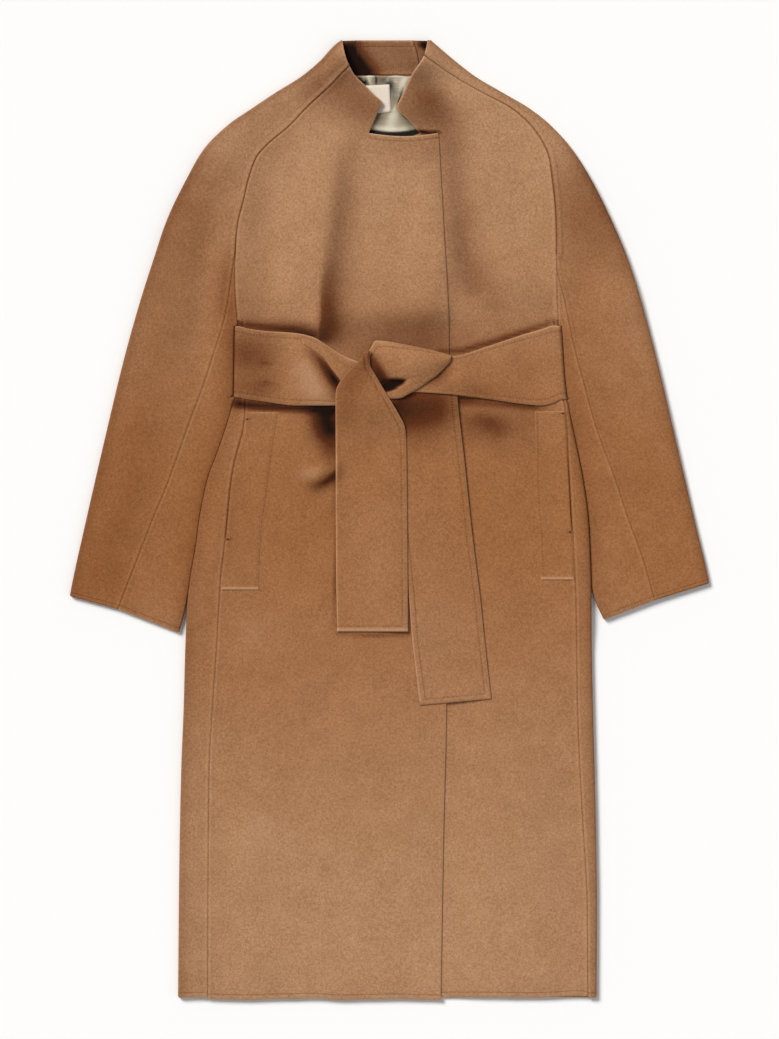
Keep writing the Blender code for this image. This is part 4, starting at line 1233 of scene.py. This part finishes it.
def welt(side, wool):
    """A pocket welt on the points of its front: proud at the opening, flush inside."""
    column = column_of(side)
    layer = upper if side < 0 else underlap
    top, bottom = WELT_TOPS[column - 1], WELT_BOTTOMS[column - 1]
    tacks = BAR_TACKS[column - 1]
    beside = [tack + offset for tack in tacks for offset in (-1.6, -0.8, 0.0, 0.8, 1.6)]
    rows = np.sort(np.append(top - (top - bottom) * shares(top - bottom), beside))[::-1]
    outer = side_seam(rows, side) - side * 1.4
    inner = read(WELTS, rows, column)
    way = shares(36.0, pitch=4.0)
    x = between(outer, inner, way)
    y = spread(rows, x)
    rise = mix(WALL / 2 + 0.65, WALL / 2 + 0.1, step(way, 0.0, 1.0))[None, :]
    opening, sewn = (list(zip(edge[::4], rows[::4])) for edge in (outer, inner))
    ends = [[(outer[k], end), (inner[k], end)] for k, end in ((0, top), (-1, bottom))]
    # No painted highlight on the welt's edges
    points, shade, edges = dressed(x, y, layer(x, y) + rise, WELT_STITCH, [opening] + ends,
                                   [sewn], edge_highlight=0.0)
    lip = bell(y - bottom - 2.0, 1.6)
    points[:, :, 2] += 0.7 * lip
    # Painted highlight on the lip and along the top
    shade = np.where(lip > 0.1, -0.3 * lip, shade) - 0.15 * bell(y - top, 1.0)
    sew(points, slice(3, -3), -5, WELT_WALL)
    for level in tacks:
        tack = points[int(np.argmin(np.abs(rows - level))), 2]
        bar_tack(tack + np.array([0.0, 0.0, WELT_WALL / 2]), (3.4, 0.6))
        gap = np.hypot((x - tack[0] + side * 1.5) / 3.0, y - tack[1])
        # Painted shade in the dimples round each bar tack
        shade = shade + 0.8 * bell(gap, 1.0)
    return shell(f"welt_{WORDS[side]}", points, WELT_WALL, wool, shade, edges)


# ---- belt

# Soft folds of the belt's two stretches; then painted shade in the deep places beside the knot, and
# painted shade on the stretches with painted highlights below 0
BELT_FOLDS = [
    ([(-140, 232, 0), (-120, 219, 2.8), (-105, 205, 5), (-93, 191, 7), (-84, 176, 7),
      (-76, 160, 5), (-70, 146, 0)], 11, 28),
    ([(-176, 186, 0), (-160, 180, 1.2), (-144, 184, 1), (-134, 190, 0)], 6, 5),
    ([(76, 186, 0), (100, 188, 2.5), (150, 200, 3), (196, 206, 0)], 24, 26),
    ([(60, 164, 0), (90, 172, 2), (140, 160, 1.5), (180, 160, 0)], 12, 12),
]
BELT_HOLLOWS = [
    ([(-110, 213, 0), (-96, 206, 0.34), (-84, 195, 0.6), (-75, 183, 0.9), (-67, 172, 1.1),
      (-61, 162, 0.6), (-58, 150, 0)], 4, 9),
]
BELT_SHADES = [
    ([(-214, 212, 0.3), (-180, 206, 0.4), (-154, 202, 0.32), (-126, 198, 0)], 30, 30),
    ([(-200, 164, 0.2), (-160, 160, 0.28), (-130, 157, 0)], 13, 13),
    ([(-168, 193, 0), (-154, 194, 0.2), (-142, 191, 0)], 2, 3),
    ([(-168, 168, 0), (-152, 169, 0.2), (-134, 164, 0)], 4, 3),
    ([(-60, 212, 0), (-52, 192, 0.25), (-46, 172, 0.35), (-44, 160, 0)], 12, 12),
    ([(-116, 206, 0), (-104, 190, -0.16), (-96, 170, -0.2), (-88, 156, -0.2),
      (-80, 146, -0.16)], 12, 20),
    ([(42, 164, 0), (52, 171, 0.35), (62, 180, 0.45), (70, 188, 0.3), (80, 197, 0)], 6, 8),
    ([(80, 158, 0.1), (110, 156, 0.12), (150, 152, 0.04), (180, 150, 0)], 14, 14),
]
BELT_TONES = WAIST_TONE + [
    ([(-200, 196, 0.16), (-60, 196, 0.06), (40, 196, 0), (84, 184, 0.12), (140, 180, 0.16),
      (200, 190, 0.1)], 60, 60),
]
TAIL_TONES = WAIST_TONE + [
    ([(-30, 214, 0.2), (-46, 170, 0.18), (-30, 110, 0), (0, 0, -0.2), (40, -140, -0.18),
      (80, -220, -0.04)], 90, 90),
]
# Painted shade at the top of the front end, near the knot
TAIL_SHADES = [
    ([(-28, 220, 0.3), (-46, 180, 0.25), (-56, 140, 0.15), (-60, 100, 0)], 22, 22),
]
# Painted shadow of the knot on the top of the rear end
REAR_HOLLOWS = [
    ([(-6, 150, 0), (8, 140, 0.85), (30, 136, 0.72), (60, 140, 0.6), (88, 142, 0.2)], 30, 34),
]


def on_coat(x, y):
    return upper(x, y) + BELT_RISE


def belt_shell(name, x, y, z, edge, stitch, wool, dark=0.0, lines=(), tones=BELT_TONES):
    """A stretch of belt from its distances to its edges and to its stitched edges."""
    pulled = groove(stitch, BELT_STITCH)
    height = 0.16 * bell(edge - 3.4, 2.0) - 1.5 * worn_down(edge) - GROOVE_DEPTH * pulled
    points = np.stack([x, y, z + height], axis=-1)
    # Painted shade in the stitch grooves and wherever dark is given, and a painted highlight on the
    # edges
    shade = 0.3 * pulled + dark - 0.75 * EDGE_HIGHLIGHT * bell(edge - 0.4, 0.9)
    for rows, columns in lines:
        sew(points, rows, columns, BELT_CLOTH)
    return shell(name, points, BELT_CLOTH, wool, shade, roundness(edge), tones=tones)


def belt_round(wool):
    """The belt round the back, with its two stretches that lie on the fronts."""
    way = shares(BELT_WIDTH)
    run = shares(120.0, True, False, 4.0)
    bottom = np.full(len(way), BELT_CLOTH / 2)
    depth = np.full(len(way), BELT_FOLD)
    parts = []
    for side, first in zip((-1, 1), BELT_ENDS):
        y = mix(*BELT_LEVELS[column_of(side) - 1], way)
        top = side_top(y) + BELT_RISE
        outer = body_edge(y, side) - side * BODY_FOLD / 2 + side * (top - bottom) / 2
        x = between(np.full(len(y), first), outer - side * BELT_FOLD, run)
        level = mix(read(BELT_EDGES, x, 1), read(BELT_EDGES, x, 2), way[:, None])
        lift = 0.0
        if side > 0:
            x = x - BELT_SLANT * way[:, None] * step(x, 77.0, first)
            lift = BELT_LIFT * step(x, 112.0, 84.0)
        z = on_coat(x, level) + lift + ridges(x, level, BELT_FOLDS)
        outward = np.full(len(y), float(side))
        arc = fold_arc((outer, y), (outward, 0.0 * outward), top, bottom, 10, depth)
        blend = step(run, 0.93, 1.0)[None, :]
        flat = (x, mix(level, y[:, None], blend), mix(z, top[:, None], blend))
        parts.append([np.hstack([part[:, :-1], bend]) for part, bend in zip(flat, arc)])
    x, y, z = across(parts, lambda x, y: np.full(x.shape, BELT_CLOTH / 2))
    far = spread(np.minimum(way, 1.0 - way) * BELT_WIDTH, x)
    dark = soft_shade(x, y, BELT_HOLLOWS + BELT_SHADES) * (z > TOP_LAYER)
    stretch = len(run)
    lines = [(STITCH_COLUMN, slice(12, stretch)), (FAR_STITCH, slice(0, stretch)),
             (STITCH_COLUMN, slice(-stretch, -8)), (FAR_STITCH, slice(-stretch, -1))]
    return belt_shell("belt_around", x, y, z, far, far, wool, dark, lines)


def strip_grid(table, last, count, way):
    """Places along a stretch of belt and its points, between its top and its lower edge."""
    place = np.linspace(0.0, last, count)
    x = between(read(table, place, 1), read(table, place, 3), way)
    y = between(read(table, place, 2), read(table, place, 4), way)
    return place, x, y


def belt_turn(wool):
    """The stretch of belt that turns over on its way into the knot."""
    way = shares(36.0, True, True, 3.0)
    place, x, y = strip_grid(BELT_TURN, 6.0, 60, way)
    puff = read(BELT_TURN, place, 5)[:, None] * np.sin(math.pi * way)[None, :]
    z = on_coat(x, y) + BELT_LIFT + puff
    far = np.repeat((way * TURN_WIDTH)[None, :], len(place), axis=0)
    stitched = int(np.argmin(np.abs(way * TURN_WIDTH - BELT_STITCH)))
    return belt_shell("belt_twist", x, y, z, far, far, wool, lines=[(slice(6, 50), stitched)])


def belt_loop(wool):
    """The loop of the knot, with the hollow where it bends."""
    way = shares(LOOP_WIDTH, True, True, 1.4)
    place, x, y = strip_grid(BELT_LOOP, 8.0, 130, way)
    rise = read(BELT_LOOP, place, 5)[:, None]
    crown = read(BELT_LOOP, place, 6)[:, None] * np.sin(math.pi * way ** 0.8)[None, :]
    hole_x, hole_y, half_length, half_width = LOOP_HOLE
    cos, sin = LOOP_HOLE_TURN
    along = (x - hole_x) * cos + (y - hole_y) * sin
    across_hole = (y - hole_y) * cos - (x - hole_x) * sin
    half = np.maximum(half_width - 0.2 * along, 1.5)
    inside = np.hypot(along / half_length, across_hole / half)
    hole = step(inside, 1.25, 0.8)
    sunk = bell(np.maximum(inside - 0.6, 0.0), 0.9) * step(across_hole, -6.0, 2.0)
    z = on_coat(x, y) + np.maximum(0.0, rise + crown - 5.0 * hole - 2.0 * sunk)
    top = np.repeat((way * LOOP_WIDTH)[None, :], len(place), axis=0)
    # Painted near-black shade in the hole, and painted shadow of the front end beside it
    dark = np.clip(np.maximum(hole, ridges(x, y, LOOP_HOLLOWS)), 0.0, 1.0)
    return belt_shell("belt_knot_loop", x, y, z, np.minimum(top, LOOP_WIDTH - top), top, wool,
                      dark, [(slice(20, 121), STITCH_COLUMN)])


LOOP_HOLE = (5.0, 167.5, 16.0, 7.2)  # x, y, half length, half width
LOOP_HOLE_TURN = (0.957, 0.29)  # cosine and sine of its slant
# Painted shadow of the front end on the loop
LOOP_HOLLOWS = [
    ([(-27, 206, 0), (-21, 197, 0.5), (-14, 183, 0.8), (-6, 170, 0.9), (2, 158, 0)], 8, 20),
]


def tail(table):
    """Share of the way across, points and side lines of a hanging end."""
    length = table[0][0] - table[-1][0]
    rows = table[0][0] - length * shares(length, False, True, 3.0)
    way = shares(88.0, True, True, 4.0)
    x = between(read(table, rows, 1), read(table, rows, 2), way)
    sides = [line_of(table, column, rows[0], rows[-1], 6.0) for column in (1, 2)]
    return way, x, spread(rows, x), sides


def end_line(x, y):
    """The cut end of a belt as a line between its corners."""
    return [(float(x[-1, k]), float(y[-1, k])) for k in (0, -1)]


def belt_tail_front(wool):
    """The hanging end in front, from over the knot."""
    way, x, y, sides = tail(TAIL_FRONT)
    over_knot = TAIL_LIFT * step(y, 64.0, 156.0)
    rear = read(TAIL_REAR, y, 1)
    over_rear = (BELT_CLOTH + BELT_GAP) * step(x, rear - 60.0, rear - 4.0)
    crown = 3.0 * np.sin(math.pi * way)[None, :] * step(y, 60.0, 160.0)
    z = on_coat(x, y) + np.maximum(over_knot, over_rear) + crown
    end = end_line(x, y)
    # Painted highlight along the cut end, and painted shade at the top near the knot
    hem_highlight = 0.3 * bell(distance(x, y, [end]) - 2.2, 1.7)
    dark = strength(x, y, TAIL_SHADES) - hem_highlight
    lines = [(slice(12, FAR_STITCH), FAR_STITCH), (FAR_STITCH, slice(2, FAR_STITCH))]
    return belt_shell("belt_end_front", x, y, z, distance(x, y, sides + [end]),
                      distance(x, y, sides[1:] + [end]), wool, dark, lines, TAIL_TONES)


def belt_tail_rear(wool):
    """The hanging end behind it."""
    way, x, y, sides = tail(TAIL_REAR)
    slant = 8.0 * step(y, -180.0, -227.0)
    y = y + slant * (way[None, :] - 0.75)
    dark = strength(x, y, REAR_HOLLOWS)
    edge = distance(x, y, sides + [end_line(x, y)])
    lines = [(slice(4, FAR_STITCH), FAR_STITCH), (FAR_STITCH, slice(STITCH_COLUMN, FAR_STITCH)),
             (slice(-40, FAR_STITCH), STITCH_COLUMN)]
    return belt_shell("belt_end_rear", x, y, on_coat(x, y), edge, edge, wool, dark, lines,
                      TAIL_TONES)


# ---- finishes


class Finish:
    """A material's node tree, with short ways to add nodes."""

    def __init__(self, name, constants):
        self.made = bpy.data.materials.new(name)
        self.made.use_nodes = True
        self.tree = self.made.node_tree
        self.shader = self.tree.nodes["Principled BSDF"]
        for socket, value in constants.items():
            self.shader.inputs[socket].default_value = value

    def node(self, kind, **settings):
        added = self.tree.nodes.new(kind)
        for key, value in settings.items():
            setattr(added, key, value)
        return added

    def join(self, source, target):
        self.tree.links.new(source, target)

    def noise(self, scale, detail, roughness, stretch=(1.0, 1.0, 1.0)):
        """Noise fixed to the cloth, stretched where its grain runs one way."""
        place = self.node("ShaderNodeTexCoord")
        mapping = self.node("ShaderNodeMapping")
        mapping.inputs["Scale"].default_value = stretch
        self.join(place.outputs["Object"], mapping.inputs["Vector"])
        made = self.node("ShaderNodeTexNoise")
        made.inputs["Scale"].default_value = scale
        made.inputs["Detail"].default_value = detail
        made.inputs["Roughness"].default_value = roughness
        self.join(mapping.outputs["Vector"], made.inputs["Vector"])
        return made.outputs["Fac"]

    def attribute(self, name):
        return self.node("ShaderNodeAttribute", attribute_name=name).outputs["Fac"]

    def share(self, source, start, end):
        """Share of the way that a value has gone from start to end."""
        made = self.node("ShaderNodeMapRange")
        made.inputs["From Min"].default_value = start
        made.inputs["From Max"].default_value = end
        self.join(source, made.inputs["Value"])
        return made.outputs["Result"]

    def maths(self, operation, *values):
        made = self.node("ShaderNodeMath", operation=operation)
        for socket, value in zip(made.inputs, values):
            if isinstance(value, (int, float)):
                socket.default_value = value
            else:
                self.join(value, socket)
        return made.outputs[0]

    def blend(self, share, first, second, way="MIX"):
        made = self.node("ShaderNodeMix", data_type="RGBA", blend_type=way)
        self.join(share, made.inputs["Factor"])
        for socket, value in ((made.inputs["A"], first), (made.inputs["B"], second)):
            if isinstance(value, tuple):
                socket.default_value = value
            else:
                self.join(value, socket)
        return made.outputs["Result"]

    def finished(self, base, height, strength, distance):
        """The material, with its colour and the bump of its nap or weave."""
        self.join(base, self.shader.inputs["Base Color"])
        bump = self.node("ShaderNodeBump")
        bump.inputs["Strength"].default_value = strength
        bump.inputs["Distance"].default_value = distance
        self.join(height, bump.inputs["Height"])
        self.join(bump.outputs["Normal"], self.shader.inputs["Normal"])
        return self.made


def colour(red, green, blue):
    """A colour of the sRGB scale, 0 to 255, as the shader takes it."""
    def linear(value):
        share = value / 255.0
        return share / 12.92 if share <= 0.04045 else ((share + 0.055) / 1.055) ** 2.4
    return (linear(red), linear(green), linear(blue), 1.0)


# Tints that multiply the wool's colour: in its clouds, in its deeper tone, and as painted shade
# inside folds
CLOUD_TINT = (0.88, 0.85, 0.8, 1.0)
DEEP_TINT = (0.65, 0.42, 0.2, 1.0)
FOLD_TINT = (0.36, 0.22, 0.15, 1.0)


def wool_finish():
    """Felted wool: fine heathered fibres, faint clouds, painted shade in folds and stitch lines,
    painted highlights on rims.
    """
    wool = Finish("camel_wool", {
        "Roughness": 0.95,
        "Specular IOR Level": 0.12,
        "Sheen Weight": 0.05,
        "Sheen Roughness": 0.6,
        "Sheen Tint": colour(240, 205, 170),
    })
    fibres = wool.noise(760.0, 2.0, 0.7)
    tufts = wool.noise(330.0, 2.0, 0.6)
    nap = wool.maths("ADD", wool.maths("MULTIPLY", fibres, 0.55),
                     wool.maths("MULTIPLY", tufts, 0.45))
    base = wool.blend(wool.share(nap, 0.3, 0.7), colour(152, 107, 74), colour(202, 159, 122))
    clouds = wool.share(wool.noise(34.0, 4.0, 0.62), 0.3, 0.7)
    clouded = wool.blend(clouds, base, CLOUD_TINT, "MULTIPLY")
    toned = wool.blend(wool.attribute("tone"), clouded, DEEP_TINT, "MULTIPLY")
    shade = wool.attribute("shade")
    # Painted shade, then deep painted shade, then painted highlights where the shade is below 0
    folded = wool.blend(wool.share(shade, 0.0, 0.5), toned, FOLD_TINT, "MULTIPLY")
    deep = wool.blend(wool.share(shade, 0.5, 1.0), folded, colour(26, 10, 6))
    with_highlights = wool.blend(wool.share(shade, 0.0, -1.0), deep, colour(236, 196, 160))
    return wool.finished(with_highlights, nap, 0.5, 0.0006)


def satin_finish():
    """Satin with fine ribs, with painted shade between its folds and painted highlights on them."""
    satin = Finish("olive_satin", {
        "Roughness": 0.4,
        "Specular IOR Level": 0.25,
        "Sheen Weight": 0.05,
        "Anisotropic": 0.4,
    })
    ribs = satin.noise(900.0, 1.0, 0.5, (0.08, 1.0, 1.0))
    base = satin.blend(satin.share(ribs, 0.35, 0.65), colour(153, 140, 116), colour(167, 154, 130))
    shade = satin.attribute("shade")
    # Painted shade, then painted highlights below 0
    satin_shaded = satin.blend(satin.share(shade, 0.0, 1.0), base, colour(8, 6, 5))
    satin_highlights = satin.blend(satin.share(shade, 0.0, -1.0), satin_shaded, colour(252, 245, 226))
    return satin.finished(satin_highlights, ribs, 0.15, 0.0003)


def tape_finish():
    """Plain woven tape."""
    tape = Finish("cream_tape", {"Roughness": 0.7})
    weave = tape.noise(1400.0, 1.0, 0.5, (1.0, 0.3, 1.0))
    base = tape.blend(weave, colour(216, 200, 182), colour(236, 223, 208))
    return tape.finished(base, weave, 0.22, 0.0003)


def thread_finish():
    """Twisted thread in the colour of the wool."""
    thread = Finish("camel_thread", {"Roughness": 0.6})
    twist = thread.noise(1600.0, 1.0, 0.5)
    base = thread.blend(twist, colour(150, 106, 70), colour(190, 146, 106))
    return thread.finished(base, twist, 0.3, 0.0001)


# ---- stitches

# Millimetres; the names are those of the group's inputs
STITCH_SIZES = {"Stitch pitch": 3.6, "Stitch length": 2.6, "Thread thickness": 0.5}


def stitch_tree(thread):
    """Geometry nodes that lay a stitch every so often along the edges of a mesh of lines."""
    tree = bpy.data.node_groups.new("topstitch", "GeometryNodeTree")
    face = tree.interface
    face.new_socket("Lines", in_out="INPUT", socket_type="NodeSocketGeometry")
    for name in STITCH_SIZES:
        face.new_socket(name, in_out="INPUT", socket_type="NodeSocketFloat")
    face.new_socket("Stitches", in_out="OUTPUT", socket_type="NodeSocketGeometry")

    def node(kind, **values):
        made = tree.nodes.new(kind)
        for name, value in values.items():
            made.inputs[name].default_value = value
        return made

    given, made = node("NodeGroupInput"), node("NodeGroupOutput")
    curve = node("GeometryNodeMeshToCurve")
    spaced = node("GeometryNodeResampleCurve")
    spaced.mode = "LENGTH"
    stitch = node("GeometryNodeMeshUVSphere", Segments=6, Rings=5, Radius=0.5)
    size = node("ShaderNodeCombineXYZ")
    lean = node("FunctionNodeRandomValue")
    lean.data_type = "FLOAT_VECTOR"
    lean.inputs["Min"].default_value = (0.0, -0.08, -0.1)
    lean.inputs["Max"].default_value = (0.0, 0.08, 0.1)
    lean.inputs["Seed"].default_value = 7
    along = node("ShaderNodeVectorMath")
    tangent = node("GeometryNodeInputTangent")
    turn = node("FunctionNodeAlignRotationToVector")
    turn.axis = "X"
    placed = node("GeometryNodeInstanceOnPoints")
    real = node("GeometryNodeRealizeInstances")
    coloured = node("GeometryNodeSetMaterial", Material=thread)
    smooth = node("GeometryNodeSetShadeSmooth")
    links = [
        (given, "Lines", curve, "Mesh"),
        (curve, "Curve", spaced, "Curve"),
        (given, "Stitch pitch", spaced, "Length"),
        (spaced, "Curve", placed, "Points"),
        (stitch, "Mesh", smooth, "Geometry"),
        (smooth, "Geometry", placed, "Instance"),
        (tangent, "Tangent", along, 0),
        (lean, "Value", along, 1),
        (along, "Vector", turn, "Vector"),
        (turn, "Rotation", placed, "Rotation"),
        (given, "Stitch length", size, "X"),
        (given, "Thread thickness", size, "Y"),
        (given, "Thread thickness", size, "Z"),
        (size, "Vector", placed, "Scale"),
        (placed, "Instances", real, "Geometry"),
        (real, "Geometry", coloured, "Geometry"),
        (coloured, "Geometry", made, "Stitches"),
    ]
    for source, output, target, socket in links:
        tree.links.new(source.outputs[output], target.inputs[socket])
    return tree


def topstitching(thread):
    """All the rows of stitches on the coat as one mesh."""
    lines = bpy.data.meshes.new("stitch_lines")
    places = [tuple(point * MM) for line in stitched_lines for point in line]
    edges, first = [], 0
    for line in stitched_lines:
        edges += [(first + k, first + k + 1) for k in range(len(line) - 1)]
        first += len(line)
    lines.from_pydata(places, edges, [])
    holder = add_object("stitch_lines", lines)
    tree = stitch_tree(thread)
    laid = holder.modifiers.new("stitches", "NODES")
    laid.node_group = tree
    for socket in tree.interface.items_tree:
        if socket.name in STITCH_SIZES:
            laid[socket.identifier] = STITCH_SIZES[socket.name] * MM
    graph = bpy.context.evaluated_depsgraph_get()
    mesh = bpy.data.meshes.new_from_object(holder.evaluated_get(graph))
    holder.modifiers.remove(laid)
    bpy.data.objects.remove(holder)
    stitches = add_object("wool_topstitching", mesh)
    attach(stitches, "root")


# ---- stage

# Name, direction that the light comes from, energy, and width in degrees
LIGHTS = [
    ("key_light", (-0.51, 0.53, 0.74), 3.03, 24.0),
    ("fill_light", (0.6, -0.3, 0.75), 0.45, 60.0),
]
LIGHT_COLOUR = (1.0, 0.99, 0.97)
SKY_STRENGTH = 0.24
FLOOR_COLOUR = (0.96, 0.96, 0.96, 1.0)
FLOOR_DROP = 0.5
PIXEL = 1.25  # millimetres of the coat in a pixel of the view
VIEW_ROWS = 1039  # pixels in the height of the view
LENS, SENSOR = 200.0, 36.0


def stage():
    """A pale floor, a camera straight above the coat and its lights."""
    mesh = bpy.data.meshes.new("floor")
    plane = bmesh.new()
    bmesh.ops.create_grid(plane, x_segments=1, y_segments=1, size=6.0)
    plane.to_mesh(mesh)
    plane.free()
    mesh.materials.append(Finish("pale_floor", {"Base Color": FLOOR_COLOUR, "Roughness": 0.9}).made)
    floor = add_object("floor", mesh)
    floor.location.z = -FLOOR_DROP * MM

    camera = bpy.data.cameras.new("camera")
    camera.lens = LENS
    camera.sensor_width = SENSOR
    camera.clip_end = 50.0
    seen = add_object("camera", camera)
    seen.location = (0.0, -PIXEL * MM, LENS / SENSOR * VIEW_ROWS * PIXEL * MM)
    bpy.context.scene.camera = seen

    for name, aim, energy, width in LIGHTS:
        lamp = bpy.data.lights.new(name, "SUN")
        lamp.energy = energy
        lamp.angle = math.radians(width)
        lamp.color = LIGHT_COLOUR
        light = add_object(name, lamp)
        light.rotation_euler = Vector(aim).to_track_quat("Z", "Y").to_euler()
    world = bpy.data.worlds.new("studio")
    world.use_nodes = True
    sky = world.node_tree.nodes["Background"]
    sky.inputs["Color"].default_value = (1.0, 1.0, 1.0, 1.0)
    sky.inputs["Strength"].default_value = SKY_STRENGTH
    bpy.context.scene.world = world
    bpy.context.scene.view_settings.view_transform = "Standard"


# ---- the coat

# Name, node, flat width and length in metres, flat area in square metres, how the sheet is
# held and the nodes that it lies on
SHEETS = [
    ("coat_back", "back", 0.585, 1.155, 0.557, "laid", []),
    ("coat_front_left", "front_left", 0.326, 1.178, 0.335, "laid", ["back"]),
    ("coat_front_right", "front_right", 0.304, 1.180, 0.304, "laid", ["front_left", "back"]),
    ("collar_back_band", "collar_back", 0.078, 0.045, 0.0032, "laid", []),
    ("sleeve_right_top", "sleeve_right_upper", 0.262, 0.712, 0.125, "laid", []),
    ("sleeve_left_top", "sleeve_left_upper", 0.236, 0.700, 0.104, "laid", []),
    ("sleeve_right_below", "sleeve_right_under", 0.128, 0.478, 0.0403, "laid", []),
    ("sleeve_left_below", "sleeve_left_under", 0.106, 0.462, 0.0308, "laid", []),
    ("welt_right", "pocket_right_welt", 0.050, 0.222, 0.0097, "laid", ["front_right"]),
    ("welt_left", "pocket_left_welt", 0.045, 0.213, 0.0087, "laid", ["front_left"]),
    ("neck_lining", "lining", 0.100, 0.104, 0.0095, "laid", ["back"]),
    ("neck_label", "label", 0.031, 0.036, 0.0011, "laid", ["lining"]),
    ("belt_around", "belt_round", 0.090, 0.715, 0.0628, "laid", ["front_right", "front_left"]),
    ("belt_twist", "belt_turn", 0.040, 0.080, 0.0017, "folded", ["belt_round"]),
    ("belt_knot_loop", "belt_loop", 0.070, 0.115, 0.0056, "folded", ["belt_round", "front_right"]),
    ("belt_end_front", "belt_tail_front", 0.091, 0.352, 0.0279, "laid",
     ["front_right", "belt_round"]),
    ("belt_end_rear", "belt_tail_rear", 0.091, 0.398, 0.0346, "laid",
     ["front_right", "front_left"]),
]


def dress():
    """Build the coat's pieces, attach each to the root and hide its imported part, then lay the
    topstitching.
    """
    wool, satin, tape = wool_finish(), satin_finish(), tape_finish()
    back(wool)
    front_left(wool)
    front_right(wool)
    collar_back(wool)
    for side in (-1, 1):
        upper_sleeve(side, wool)
        under_sleeve(side, wool)
        welt(side, wool)
    lining(satin)
    label(tape)
    belt_round(wool)
    belt_turn(wool)
    belt_loop(wool)
    belt_tail_front(wool)
    belt_tail_rear(wool)
    for name, node, width, length, area, held, below in SHEETS:
        piece = bpy.data.objects[name]
        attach(piece, "root")
        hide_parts(node)
    topstitching(thread_finish())


dress()
stage()
